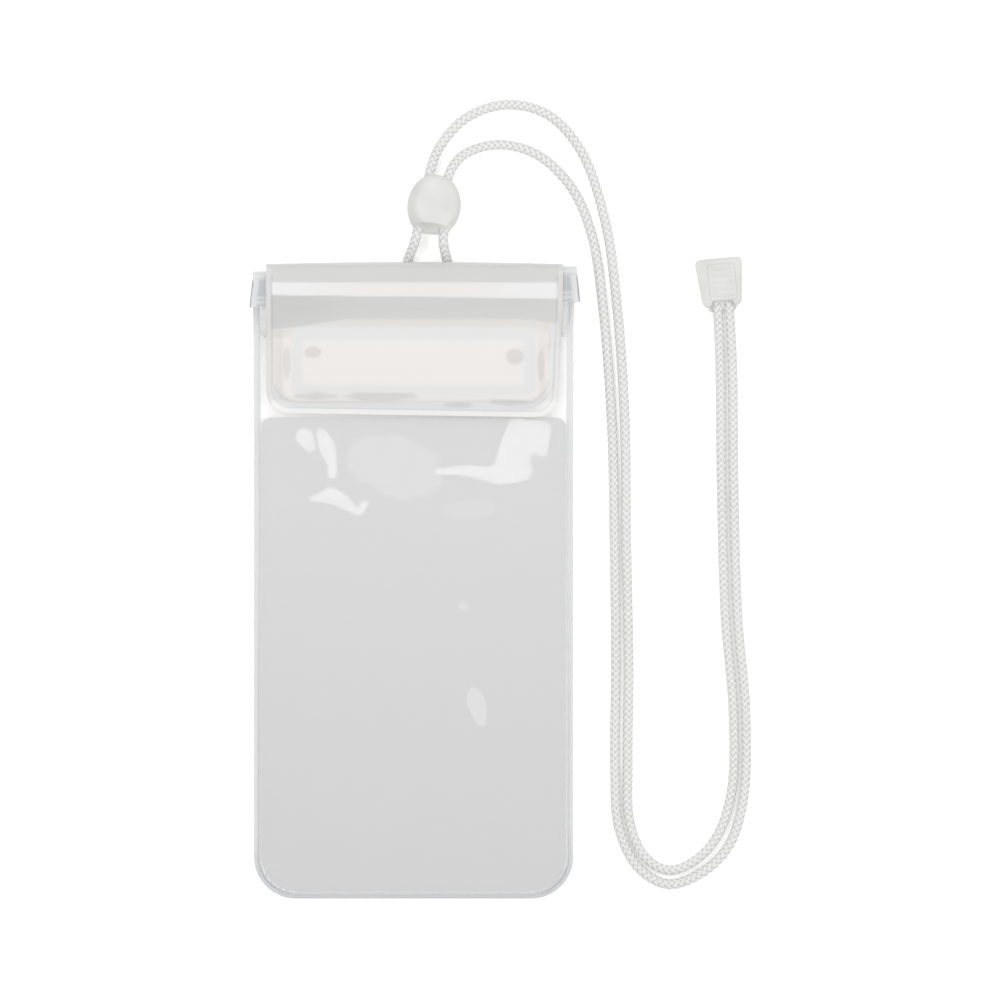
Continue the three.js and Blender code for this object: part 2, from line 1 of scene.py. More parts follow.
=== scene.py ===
# A waterproof phone pouch with its doubled neck cord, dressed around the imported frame.
# Sizes in the dictionaries are millimetres, and become metres as each mesh is made.
import json
import bpy
import mathutils
import numpy as np
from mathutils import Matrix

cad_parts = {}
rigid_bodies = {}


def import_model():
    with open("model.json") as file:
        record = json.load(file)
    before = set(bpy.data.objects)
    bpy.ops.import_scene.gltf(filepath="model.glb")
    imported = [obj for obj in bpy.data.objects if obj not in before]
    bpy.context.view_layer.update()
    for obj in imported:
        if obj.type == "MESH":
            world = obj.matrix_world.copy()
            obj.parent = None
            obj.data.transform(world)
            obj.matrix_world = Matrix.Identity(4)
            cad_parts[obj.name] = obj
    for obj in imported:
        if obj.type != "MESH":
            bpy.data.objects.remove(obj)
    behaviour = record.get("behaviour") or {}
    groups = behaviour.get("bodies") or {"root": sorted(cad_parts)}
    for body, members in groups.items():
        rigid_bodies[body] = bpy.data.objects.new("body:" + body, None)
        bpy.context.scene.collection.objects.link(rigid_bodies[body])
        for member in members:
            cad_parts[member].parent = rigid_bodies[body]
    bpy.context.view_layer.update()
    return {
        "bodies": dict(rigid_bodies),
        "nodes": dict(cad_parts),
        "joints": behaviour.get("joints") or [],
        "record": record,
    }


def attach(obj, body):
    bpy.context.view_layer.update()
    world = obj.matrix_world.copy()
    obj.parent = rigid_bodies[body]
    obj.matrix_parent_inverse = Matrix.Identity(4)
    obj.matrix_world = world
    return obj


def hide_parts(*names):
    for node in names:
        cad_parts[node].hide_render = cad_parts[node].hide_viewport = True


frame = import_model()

mm = 0.001
scene = bpy.context.scene
scene.view_settings.view_transform = "Standard"
scene.cycles.transparent_max_bounces = 40    # the flap lies over five films and two strips
scene.cycles.diffuse_bounces = 6             # light is passed on between the stacked films


# Camera: straight down over the middle of the photograph's frame

view = {"distance": 4000, "centre": (29.75, 27.72), "frameWidth": 344.3, "sensor": 36}


def addCamera():
    data = bpy.data.cameras.new("camera")
    data.sensor_width = view["sensor"]
    data.lens = view["sensor"] * view["distance"] / view["frameWidth"]
    camera = bpy.data.objects.new("camera", data)
    camera.location = (view["centre"][0] * mm, view["centre"][1] * mm, view["distance"] * mm)
    scene.collection.objects.link(camera)
    scene.camera = camera


addCamera()
print("camera placed")


# Small helpers

def smooth(low, high, value):     # smoothstep from low to high
    t = np.clip((value - low) / (high - low), 0, 1)
    return t * t * (3 - 2 * t)


def blend(first, second, share):
    return first + (second - first) * share


def ridge(distance, width):     # a bell curve, 1 at no distance
    return np.exp(-(distance / width) ** 2)


def band(places, value):     # rises from 0 between the first two places, falls between the last two
    return smooth(*places[:2], value) * (1 - smooth(*places[2:], value))


def linearColour(code):     # sRGB hex to a linear colour with alpha 1
    levels = np.array([int(code[i:i + 2], 16) for i in (1, 3, 5)]) / 255
    linear = np.where(levels <= 0.04045, levels / 12.92, ((levels + 0.055) / 1.055) ** 2.4)
    return (*linear, 1)


def addNode(tree, kind, values=None, links=None, **settings):
    node = tree.nodes.new(kind)
    for name, value in settings.items():
        setattr(node, name, value)
    for socket, value in (values or {}).items():
        node.inputs[socket].default_value = value
    for socket, source in (links or {}).items():
        tree.links.new(source, node.inputs[socket])
    return node


def newMaterial(name):
    material = bpy.data.materials.new(name)
    material.use_nodes = True
    material.node_tree.nodes.clear()
    return material, material.node_tree


def finishMaterial(tree, shader):
    addNode(tree, "ShaderNodeOutputMaterial", links={"Surface": shader.outputs[0]})


def hexRamp(tree, source, stops):     # a colour ramp from a factor, with its stops as hex
    ramp = addNode(tree, "ShaderNodeValToRGB", links={"Fac": source})
    elements = ramp.color_ramp.elements
    while len(elements) < len(stops):
        elements.new(0.5)
    for element, (place, code) in zip(elements, stops):
        element.position = place
        element.color = linearColour(code)
    return ramp.outputs["Color"]


# A bump from a noise pattern with its scale in waves per metre: a strength, and a height in metres
def noiseBump(tree, place, scale, detail, strength, height, normal=None):
    noise = addNode(tree, "ShaderNodeTexNoise", values={"Scale": scale, "Detail": detail},
                    links={"Vector": place})
    links = {"Height": noise.outputs["Fac"]}
    if normal is not None:
        links["Normal"] = normal
    bump = addNode(tree, "ShaderNodeBump", values={"Strength": strength, "Distance": height}, links=links)
    return bump.outputs["Normal"]


def smoothUnder(mesh, degrees):     # smooth shading, with sharp edges where faces turn by more
    mesh.polygons.foreach_set("use_smooth", np.ones(len(mesh.polygons), dtype=bool))
    mesh.set_sharp_from_angle(angle=np.radians(degrees))


def makePiece(name, points, faces, materials, faceMaterial=None, values=None, uv=None, sharp=40):
    mesh = bpy.data.meshes.new(name)
    mesh.from_pydata((points * mm).tolist(), [], faces if isinstance(faces, list) else faces.tolist())
    for material in materials:
        mesh.materials.append(material)
    if faceMaterial is not None:
        mesh.polygons.foreach_set("material_index", np.asarray(faceMaterial, dtype=np.int32))
    for attribute, value in (values or {}).items():
        layer = mesh.attributes.new(attribute, "FLOAT", "POINT")
        layer.data.foreach_set("value", np.asarray(value, dtype=np.float32))
    if uv is not None:
        corner = np.zeros(len(mesh.loops), dtype=np.int32)
        mesh.loops.foreach_get("vertex_index", corner)
        mesh.uv_layers.new(name="surface").data.foreach_set("uv", (uv[corner]).astype(np.float32).ravel())
    smoothUnder(mesh, sharp)
    mesh.update()
    piece = bpy.data.objects.new(name, mesh)
    scene.collection.objects.link(piece)
    return piece


def gridQuads(rows, columns, wrap=False):     # faces of a grid, seen from its outer side
    index = np.arange(rows * columns).reshape(rows, columns)
    if wrap:
        index = np.concatenate([index, index[:, :1]], axis=1)
    corners = (index[:-1, :-1], index[:-1, 1:], index[1:, 1:], index[1:, :-1])
    return np.stack(corners, axis=-1).reshape(-1, 4)


def closedTube(rings, sides):     # faces of a tube of rings, with a flat cap at each end
    first = list(range(sides))
    last = [(rings - 1) * sides + i for i in first]
    return gridQuads(rings, sides, wrap=True).tolist() + [first[::-1], last]


# A shell between two grids of points: outer side, inner side turned round, and a rim between them
def shellPiece(name, outer, inner, materials, faceRegion=None, values=None, **more):
    rows, columns = outer.shape[:2]
    count = rows * columns
    index = np.arange(count).reshape(rows, columns)
    skin = gridQuads(rows, columns)
    loop = np.concatenate([index[0, :-1], index[:-1, -1], index[-1, :0:-1], index[:0:-1, 0]])
    ahead = np.roll(loop, -1)
    rim = np.stack([loop + count, ahead + count, ahead, loop], axis=-1)
    faces = np.concatenate([skin, skin[:, ::-1] + count, rim])
    points = np.concatenate([outer.reshape(-1, 3), inner.reshape(-1, 3)])
    region = None
    if faceRegion is not None:
        middle = (faceRegion[:-1, :-1] + faceRegion[1:, 1:]) / 2 > 0.5
        region = np.concatenate([middle.ravel(), middle.ravel(), np.ones(len(rim), dtype=bool)])
    doubled = {key: np.concatenate([value.ravel()] * 2) for key, value in (values or {}).items()}
    return makePiece(name, points, faces, materials, region, doubled, **more)


# A film of one thickness about a middle surface: both sides lie half of it along the normal
def filmPiece(name, middle, thickness, materials, faceRegion=None, values=None):
    acrossRows = np.gradient(middle, axis=1)
    alongRows = np.gradient(middle, axis=0)
    normal = np.cross(acrossRows, alongRows)
    normal /= np.linalg.norm(normal, axis=2, keepdims=True)
    half = thickness / 2
    return shellPiece(name, middle + normal * half, middle - normal * half, materials, faceRegion, values)


# Neck cord: the route that the part's own solid follows, point for point, in metres

cord = {
    "diameter": 3.6, "length": 1181, "step": 0.36, "sides": 24, "splineSteps": 24, "pathEvery": 8,
    "columns": 8, "stitch": 2.15, "slant": 0.9, "relief": 0.42, "fullness": 0.7, "rim": 0.45, "crown": 0.8,
    "sways": [(0.06, 61, 0), (0.09, 143, 1.3)],     # turns, length over which each sways, and its start
    "quarterColumn": (0.125, 560, 620),             # turns gained between two lengths along the cord
    # shade is the painted shade of the grooves between the stitches, light the colour of their crowns
    "light": "#f3f3f2", "shade": "#c2c2c1",
}
cordRoute = mm * np.array([
    (103.8, 101.1, 3.5), (104.7, 92.5, 3.4), (105.5, 74.2, 1.8), (106, 31, 1.8),
    (107.3, -12, 1.8), (110.1, -46, 1.8), (109.4, -72.8, 1.8), (104.1, -88.6, 1.8),
    (96, -96.9, 1.8), (87.7, -99.6, 1.8), (79.6, -95, 1.8), (74.4, -83.1, 1.8),
    (73.7, -62, 1.8), (74, -30, 1.8), (73.2, 15, 1.8), (72.7, 55, 1.8),
    (70.2, 93, 1.8), (65.9, 124, 1.8), (57.6, 147.9, 1.8), (46.3, 160.3, 1.8),
    (32.2, 163.8, 1.8), (18.4, 159.4, 1.8), (9, 149.3, 3.2), (5.7, 140.6, 7.5),
    (4.6, 135.1, 8.6), (1.9, 122.4, 9.8), (0.7, 117.2, 9.2), (-2.5, 108.4, 2.9),
    (-3.7, 102.5, 2.3), (-4.3, 96, 2.5), (-1.2, 90.3, 2.5), (4.8, 88.1, 2.5),
    (10.8, 90.3, 2.5), (13.9, 96, 2.5), (13.2, 102.5, 2.3), (12, 108.4, 2.9),
    (10.3, 115.9, 9.2), (10.5, 121.2, 9.8), (11.4, 134.1, 8.6), (12.2, 139.6, 7.5),
    (17.2, 146.4, 3.4), (28.7, 150, 1.8), (42.3, 146.7, 1.8), (54.3, 135.3, 1.8),
    (61.3, 119, 1.8), (65.3, 92.8, 1.8), (68.3, 52, 1.8), (69.1, 15, 1.8),
    (69.6, -30, 1.8), (69.3, -64, 1.8), (70.7, -85.2, 1.8), (77.2, -98.6, 1.8),
    (87.7, -104.5, 1.8), (99.4, -100.4, 1.8), (108.4, -91.4, 1.8), (113.5, -75, 1.8),
    (114.3, -46, 1.8), (111.5, -12, 1.8), (110.2, 31, 1.8), (109.7, 74.2, 1.8),
    (108.6, 92.9, 3.4), (107.8, 101.5, 3.5),
])


# Centripetal spline through the points: each stretch is a cubic whose slopes at its two ends
# come from the points beside it, weighted by the square roots of their distances
def splineThrough(points, steps):
    ends = np.vstack([2 * points[0] - points[1], points, 2 * points[-1] - points[-2]])
    a, b, c, d = ends[:-3], ends[1:-2], ends[2:-1], ends[3:]
    ab, bc, cd = (np.linalg.norm(q - p, axis=1, keepdims=True) ** 0.5 for p, q in ((a, b), (b, c), (c, d)))
    leave = ((b - a) / ab - (c - a) / (ab + bc) + (c - b) / bc) * bc
    arrive = ((c - b) / bc - (d - b) / (bc + cd) + (d - c) / cd) * bc
    t = np.linspace(0, 1, steps, endpoint=False)[None, :, None]
    square = -3 * b + 3 * c - 2 * leave - arrive
    cube = 2 * b - 2 * c + leave + arrive
    line = b[:, None] + leave[:, None] * t + square[:, None] * t ** 2 + cube[:, None] * t ** 3
    return np.vstack([line.reshape(-1, 3), points[-1]])


def evenLine(line, step):     # the same line with its points a step apart, and how far along each is
    reach = np.concatenate([[0], np.cumsum(np.linalg.norm(np.diff(line, axis=0), axis=1))])
    along = np.linspace(0, reach[-1], int(round(reach[-1] / step)) + 1)
    return np.stack([np.interp(along, reach, line[:, i]) for i in range(3)], axis=1), along


# Braid: eight columns of slanted stitches run round the cord, and neighbours slant opposite ways.
# A point's radius is the cord's less a relief, which is none at the middle of a stitch: along a
# stitch it follows a sine, and across one a cosine.
def addCord(material):
    line = splineThrough(cordRoute / mm, cord["splineSteps"])
    line[:, 2] = np.maximum(line[:, 2], cord["diameter"] / 2)
    line, along = evenLine(line, cord["step"])
    ahead = np.gradient(line, axis=0)
    ahead /= np.linalg.norm(ahead, axis=1, keepdims=True)
    side = np.cross((0, 0, 1), ahead)
    side /= np.linalg.norm(side, axis=1, keepdims=True)
    up = np.cross(ahead, side)
    turn = np.arange(cord["sides"]) / cord["sides"]
    gained, gainFrom, gainTo = cord["quarterColumn"]
    twist = sum(turns * np.sin(along / reach + start) for turns, reach, start in cord["sways"])
    twist += gained * smooth(gainFrom, gainTo, along)
    angle = 2 * np.pi * (turn[None, :] + twist[:, None])
    column = turn * cord["columns"] + 0.5 / (cord["sides"] / cord["columns"])
    across = column % 1 - 0.5
    lean = np.where(np.floor(column) % 2 == 0, 1, -1) * cord["slant"] * across
    phase = along[:, None] / cord["stitch"] + lean[None, :]
    overStitch = cord["rim"] + (1 - cord["rim"]) * np.cos(np.pi * across) ** cord["crown"]
    stitch = np.abs(np.sin(np.pi * phase)) ** cord["fullness"] * overStitch[None, :]
    radius = cord["diameter"] / 2 - cord["relief"] * (1 - stitch)
    ring = side[:, None] * np.cos(angle)[..., None] + up[:, None] * np.sin(angle)[..., None]
    points = (line[:, None] + ring * radius[..., None]).reshape(-1, 3)
    around = turn * np.pi * cord["diameter"]
    uv = np.stack(np.broadcast_arrays(along[:, None] * mm, around[None, :] * mm), -1)
    piece = makePiece("braided_cord", points, closedTube(len(line), cord["sides"]), [material],
                      values={"stitch": stitch.ravel()}, uv=uv.reshape(-1, 2), sharp=180)
    return piece, line * mm


# Braided polyester: bundles of fine white filament, plaited round a core, so that it reads as
# bright slanted stitches with a faint sheen; the soft grey between them is painted shade in the grooves
def braidedPolyester():
    material, tree = newMaterial("polyester cord, plaited")
    height = addNode(tree, "ShaderNodeAttribute", attribute_name="stitch")
    # darker as the stitch height falls: painted shade in the grooves
    colour = hexRamp(tree, height.outputs["Fac"], [(0.1, cord["shade"]), (0.75, cord["light"])])
    place = addNode(tree, "ShaderNodeUVMap", uv_map="surface")
    spread = addNode(tree, "ShaderNodeMapping", values={"Scale": (1200, 4200, 1)},
                     links={"Vector": place.outputs["UV"]})     # filament bundles about 0.25 mm wide
    fibres = noiseBump(tree, spread.outputs["Vector"], 1, 2, 0.35, 0.0001)
    shader = addNode(tree, "ShaderNodeBsdfPrincipled",
                     values={"Roughness": 0.8, "Sheen Weight": 0.25, "Sheen Roughness": 0.5},
                     links={"Base Color": colour, "Normal": fibres})
    finishMaterial(tree, shader)
    return material


cordPiece, cordLine = addCord(braidedPolyester())
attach(cordPiece, "root")
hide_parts("neck_cord")
print("cord laid,", len(cordLine), "points")


# Pouch: the sizes that its films share

pouch = {
    "length": 219, "width": 110, "cornerRadius": 14.5, "film": 0.4, "gap": 0.1,
    "seam": 1.5, "seamStep": 1.1, "puff": 0.95, "padPuff": 0.3, "puffMargin": 20,
    "cordSpace": 4.2, "lipSideWeld": 1.4, "lipEndWeld": 0.9, "flatBelowHem": 3,
}
mouth = {
    "foldSlack": 2.4, "foldRadius": 1, "flare": 0.3, "stripWidth": 9.4, "stripHeight": 2.2,
    "overhang": 1, "endWeld": 7, "lipLength": 11, "lipInset": 2.3, "lipRadius": 3,
    "lift": 0.55, "lean": 0.0165, "rightReach": 1, "reachOver": (45, 55),
}
flap = {
    "inset": 4, "hemTaper": 0.7, "drift": 0.8, "length": 52.6, "cornerRadius": 8, "backLeg": 25,
    "liningTop": 9.5, "endDroop": 0.7, "hemSkew": 0.8, "seam": 1.9, "seamDip": 0.16,
    "tentLeft": -48.4, "tentRight": 46.6, "tentBottom": 61.5, "tentRadius": 9, "tentSlope": 4.5,
    "lipSlope": 4, "droopOver": (88, 106), "skewOver": 25, "dipEnds": (92, 97),
}
pad = {
    "top": 22.2, "width": 84.7, "height": 23.8, "fieldWidth": 76, "fieldHeight": 15.4,
    "fieldTop": 4.6, "radius": 2.5, "base": 0.5, "pile": 0.9, "loopHeight": 19,
    "frameShadeRadius": 3, "fieldShadeRadius": 1.5,
}
riseFrom, riseTo, sheetTop = 79.5, 21.5, 53.4     # distances down from the crest

crestY = pouch["length"] / 2
bottomY = -crestY
pitch = pouch["film"] + pouch["gap"]     # from one film's middle to the next
halfFilm = pouch["film"] / 2
risen = 2 * pouch["film"] + pouch["cordSpace"] + pouch["gap"]
frontLevel = halfFilm + pitch
sheetThickness = 0.4
padStack = 2 * (pad["base"] + pad["pile"]) + 2 * pouch["gap"]
foldedFrontZ = risen + frontLevel + 2 * mouth["foldRadius"]
stripFloorZ = foldedFrontZ + halfFilm + pouch["gap"]
foldedBackZ = stripFloorZ + mouth["stripHeight"] + pouch["gap"] + halfFilm
backFoldRadius = (foldedBackZ - risen - halfFilm) / 2
liningTopZ = foldedBackZ + pitch
flapTopZ = liningTopZ + pitch
flapBackZ = risen - pouch["gap"] - halfFilm
flapFoldRadius = (flapTopZ - flapBackZ) / 2
flapFoldY = crestY - halfFilm - flapFoldRadius
backFoldY = crestY - pouch["film"] - mouth["foldSlack"] - halfFilm - backFoldRadius
stripTopY = backFoldY - pouch["gap"]
stripBottomY = stripTopY - mouth["stripWidth"]
lipEndY = stripBottomY - mouth["lipLength"]
hemY = crestY - flap["length"]
padTopY = crestY - pad["top"]
padBottomY = padTopY - pad["height"]
mouthWidth = pouch["width"] + 2 * mouth["flare"]
stripLength = mouthWidth + 2 * mouth["overhang"]


def riseAt(y):     # how far the pouch's back is off the surface
    return risen * smooth(crestY - riseFrom, crestY - riseTo, y)


def nearFold(y):
    return 1 - smooth(lipEndY, stripTopY, y)


def mouthShift(x, y):     # the rolled mouth lies a little higher, and higher still on the right
    return (mouth["lift"] + mouth["lean"] * x) * smooth(lipEndY, stripBottomY, y)


def frontTopAt(y):     # top of the front film down its middle
    step = (sheetThickness + pouch["gap"]) * nearFold(y)
    puff = blend(pouch["puff"], pouch["padPuff"], smooth(hemY - pouch["puffMargin"], hemY, y)) * nearFold(y)
    return riseAt(y) + frontLevel + halfFilm + step + puff


def insideCorner(x, y, halfWidth, lowY, radius):     # distance in from the sides and rounded bottom
    qx = np.abs(x) - (halfWidth - radius)
    qy = (lowY + radius) - y
    outside = np.hypot(np.maximum(qx, 0), np.maximum(qy, 0))
    return radius - outside - np.minimum(np.maximum(qx, qy), 0)


def cornerInset(radius, distance):     # how much a rounded corner narrows each side
    left = np.clip(radius - distance, 0, radius)
    return radius - np.sqrt(radius ** 2 - left ** 2)


edgeStations = np.array([0, 0.3, 0.6, 0.9, 1.2, 1.5, 1.8, 2.1, 2.4, 2.8, 3.3, 4, 4.8])


def sharesAcross(half, step):     # places across a film from -1 to 1, close together at both edges
    even = np.linspace(edgeStations[-1] + step, half, int((half - edgeStations[-1]) / step))
    inset = np.concatenate([edgeStations, even])
    return np.concatenate([inset - half, (half - inset)[-2::-1]]) / half


def cornerStations(radius, steps):     # distances in from an edge with rounded corners, 0.15 mm apart or more
    curve = radius * (1 - np.cos(np.linspace(0, np.pi / 2, steps)))
    return np.unique(np.round(np.concatenate([edgeStations, curve]) / 0.15)) * 0.15


# Materials of the pouch

filmLook = {
    "ior": 1.53, "clear": "#fdfdfd", "clearAlpha": 0.08, "roughness": 0.06,
    "frosted": "#ffffff", "frostedShade": "#bebfbc", "frostedAlpha": 0.7,
    "skyCast": "#f6fdff", "coolCast": "#f7fdf1", "warmCast": "#fffaf6",
    "weld": "#ffffff", "weldMiddle": "#b9bcc0", "weldShade": "#56667f", "weldAlpha": 0.36,
}


# Facets of the window's film: tapered strokes, each from (x, y, radius) to (x, y, radius)
facets = {
    "tilt": (-0.146, 0.062, 1), "ragged": 0.1, "reach": 2, "outline": (0.48, 0.52),
    "strokes": [
        ((-37.6, 49.4, 3), (-35.4, 46, 1.8)),
        ((-31.6, 50.8, 1.6), (-29.6, 45.6, 2.9)), ((-29.6, 45.6, 2.9), (-27.4, 38.2, 1.2)),
        ((-28.6, 36.6, 1.5), (-27.4, 36.4, 1.2)),
        ((-35.6, 27.8, 0.6), (-28.4, 29.4, 2.8)), ((-28.4, 29.4, 2.8), (-24.6, 27.6, 2.4)),
        ((-24.6, 27.2, 2.2), (-18.8, 23.2, 1)), ((-18.8, 23.2, 1), (-16.8, 26.4, 1.3)),
        ((41.4, 50.2, 5.2), (34.4, 44, 5)), ((44.4, 52, 2.8), (44.2, 44.6, 2)),
        ((37, 38.2, 4), (30.8, 36.8, 3.8)), ((34, 43, 4.6), (30, 37.6, 3.6)),
        ((36.4, 51.4, 4.6), (33.4, 42, 5)),
        ((30.6, 35.8, 3), (17, 38, 1.9)), ((17, 38, 1.9), (7.6, 37.4, 0.7)),
    ],
}


# Calendered PVC film: clear and glossy, so that it shows mostly by what it mirrors. The roller
# leaves a slight waviness about 9 mm long. Where "crease" is above a half, the film stands on a
# facet tilted halfway to the left softbox, which gives a crisp pale patch.
def clearVinyl():
    material, tree = newMaterial("vinyl film, calendered")
    place = addNode(tree, "ShaderNodeTexCoord")
    ragged = addNode(tree, "ShaderNodeTexNoise", values={"Scale": 500, "Detail": 2},
                     links={"Vector": place.outputs["Object"]})     # facet outlines wander over 2 mm
    crease = addNode(tree, "ShaderNodeAttribute", attribute_name="crease")
    rough = addNode(tree, "ShaderNodeMath", operation="MULTIPLY_ADD", values={1: facets["ragged"]},
                    links={0: ragged.outputs["Fac"], 2: crease.outputs["Fac"]})
    low, high = (level + facets["ragged"] / 2 for level in facets["outline"])
    inside = addNode(tree, "ShaderNodeMapRange", values={"From Min": low, "From Max": high},
                     links={"Value": rough.outputs[0]})
    surface = addNode(tree, "ShaderNodeNewGeometry")
    parts = addNode(tree, "ShaderNodeSeparateXYZ", links={"Vector": surface.outputs["Normal"]})
    side = addNode(tree, "ShaderNodeMath", operation="SIGN", links={0: parts.outputs["Z"]})
    facet = addNode(tree, "ShaderNodeVectorMath", operation="SCALE", values={0: facets["tilt"]},
                    links={"Scale": side.outputs[0]})
    mixed = addNode(tree, "ShaderNodeMix", data_type="VECTOR",
                    links={0: inside.outputs["Result"], 4: surface.outputs["Normal"], 5: facet.outputs[0]})
    level = addNode(tree, "ShaderNodeVectorMath", operation="NORMALIZE", links={0: mixed.outputs[1]})
    waves = noiseBump(tree, place.outputs["Object"], 110, 1, 0.08, 0.001, level.outputs[0])
    shader = addNode(tree, "ShaderNodeBsdfPrincipled",
                     values={"Base Color": linearColour(filmLook["clear"]),
                             "Roughness": filmLook["roughness"], "IOR": filmLook["ior"],
                             "Specular IOR Level": 1, "Alpha": filmLook["clearAlpha"]},
                     links={"Normal": waves})
    finishMaterial(tree, shader)
    return material


# Heat-welded PVC: the two films pressed into one, pale grey and a little milky, with a thin glassy
# line, bluish where it is darkest, where the "tone" attribute is low
def weldedVinyl():
    material, tree = newMaterial("vinyl seam, heat welded")
    tone = addNode(tree, "ShaderNodeAttribute", attribute_name="tone")
    colour = hexRamp(tree, tone.outputs["Fac"],
                     [(0, filmLook["weldShade"]), (0.4, filmLook["weldMiddle"]), (1, filmLook["weld"])])
    place = addNode(tree, "ShaderNodeTexCoord")
    press = noiseBump(tree, place.outputs["Object"], 900, 2, 0.2, 0.0002)     # marks about 1 mm apart
    shader = addNode(tree, "ShaderNodeBsdfPrincipled",
                     values={"Roughness": 0.16, "IOR": filmLook["ior"], "Specular IOR Level": 0.8,
                             "Alpha": filmLook["weldAlpha"]},
                     links={"Base Color": colour, "Normal": press})
    finishMaterial(tree, shader)
    return material


# Frosted PVC film: embossed by a matt roller, so that it blurs its highlights and greys what lies
# under it. "tone" is partly what lies under it, low over hollows and high where it lies on something
# white, and partly painted shade and painted highlight in bands across the flap; "cast" is 0 where
# it looks bluish, a quarter greenish, a half neutral and 1 warm.
def frostedVinyl():
    material, tree = newMaterial("vinyl film, matt embossed")
    tone = addNode(tree, "ShaderNodeAttribute", attribute_name="tone")
    cast = addNode(tree, "ShaderNodeAttribute", attribute_name="cast")
    level = hexRamp(tree, tone.outputs["Fac"], [(0, filmLook["frostedShade"]), (1, filmLook["frosted"])])
    tint = hexRamp(tree, cast.outputs["Fac"],
                   [(0, filmLook["skyCast"]), (0.25, filmLook["coolCast"]), (0.5, filmLook["frosted"]),
                    (1, filmLook["warmCast"])])
    mixed = addNode(tree, "ShaderNodeMix", data_type="RGBA", blend_type="MULTIPLY", values={0: 1},
                    links={6: level, 7: tint})
    place = addNode(tree, "ShaderNodeTexCoord")
    embossing = noiseBump(tree, place.outputs["Object"], 2500, 1, 0.15, 0.0001)     # 0.4 mm apart
    shader = addNode(tree, "ShaderNodeBsdfPrincipled",
                     values={"Roughness": 0.5, "IOR": filmLook["ior"], "Alpha": filmLook["frostedAlpha"]},
                     links={"Base Color": mixed.outputs[2], "Normal": embossing})
    finishMaterial(tree, shader)
    return material


clearFilm, weldedFilm, frostedFilm = clearVinyl(), weldedVinyl(), frostedVinyl()


# Bag films: rows run up the body, round the mouth's fold, over the strip and down the lip

def bagRows(foldRadius, foldedZ, lipLayer, level):
    radius = pouch["cornerRadius"]
    near = cornerStations(radius, 16)
    body = np.concatenate([near, np.arange(near[-1] + 1, backFoldY - bottomY - 0.5, 1)])
    bodyY = bottomY + body
    bodyHalf = blend(pouch["width"], mouthWidth, smooth(lipEndY, backFoldY, bodyY)) / 2
    angle = np.linspace(-np.pi / 2, np.pi / 2, 21)
    foldY = backFoldY + foldRadius * np.cos(angle)
    foldZ = foldedZ - foldRadius + foldRadius * np.sin(angle)
    stripY = np.linspace(backFoldY, stripBottomY, 13)[1:]
    stripHalf = np.linspace(mouthWidth, stripLength, 13)[1:] / 2
    cornerRise = mouth["lipRadius"] * (1 - np.cos(np.linspace(np.pi / 2, 0, 9)))
    lipY = np.concatenate([np.linspace(stripBottomY - pitch, lipEndY + mouth["lipRadius"], 12)[:-1],
                           lipEndY + cornerRise])
    lipHalf = pouch["width"] / 2 - mouth["lipInset"] - cornerInset(mouth["lipRadius"], lipY - lipEndY)
    rest = frontTopAt(lipY) + lipLayer * pitch - halfFilm
    lipZ = blend(rest, foldedZ, smooth(lipEndY, stripBottomY, lipY))
    y = np.concatenate([bodyY, foldY, stripY, lipY])
    z = np.concatenate([level + riseAt(bodyY), foldZ, np.full(len(stripY), foldedZ), lipZ])
    half = np.concatenate([bodyHalf - cornerInset(radius, body), np.full(len(foldY), mouthWidth / 2),
                           stripHalf, lipHalf])
    kind = np.repeat([0, 1, 2, 3], [len(bodyY), len(foldY), len(stripY), len(lipY)])
    return y, z, half, kind


# Waves of the window's film: each has a height, a length over X, a length over Y and a start
filmWaves = {"level": 0.3, "waves": [(0.1, 17, 23, 0.4), (0.08, 9.5, -31, 2), (0.07, 40, 12, 1)]}


def windowWaves(x, y):     # the sum of three long sine waves
    height = filmWaves["level"]
    for size, overX, overY, start in filmWaves["waves"]:
        height = height + size * np.sin(x / overX + y / overY + start)
    return height


# How deep a point lies within the facets: a half on their outline, more inside. A stroke's
# distance is that to the nearest point of its middle line, less the radius there.
def creaseAt(x, y):
    nearest = np.full(x.shape, np.inf)
    for (x0, y0, r0), (x1, y1, r1) in facets["strokes"]:
        along = ((x - x0) * (x1 - x0) + (y - y0) * (y1 - y0)) / ((x1 - x0) ** 2 + (y1 - y0) ** 2)
        along = np.clip(along, 0, 1)
        distance = np.hypot(x - blend(x0, x1, along), y - blend(y0, y1, along)) - blend(r0, r1, along)
        nearest = np.minimum(nearest, distance)
    return np.clip(0.5 - nearest / (2 * facets["reach"]), 0, 1)


# Tones of the weld and of the mouth: places are distances in from the edge, or along Y where named
weldLook = {
    "flange": 0.86, "cornerFlange": 0.14, "lowFlange": 0.2, "inner": 0.84, "innerFrom": 1.65,
    "lineAt": 1.6, "lineWidth": 0.16, "line": 0.06, "lineBelow": 0.34, "cornerLine": 0.16, "glassyLine": 0.5,
    "glassyY": (86.5, 89, 94, 95.5), "darkerY": (10, -60), "cornerX": (36, 50),
    "cornerUp": (24, 6), "lowUp": (7, 4),
}
mouthLook = {
    "places": [0, 0.3, 0.6, 0.9, 2.1, 2.8, 5, 7], "tones": [0.1, 0.3, 0.9, 1, 0.97, 0.7, 0.74, 0.9],
    "ridgesUp": (1.6, 3.2), "ridgeWidth": 0.4, "ridgeTone": 0.35, "ridgeFrom": (2, 3),
    "fold": 0.86, "lip": 0.8,
}


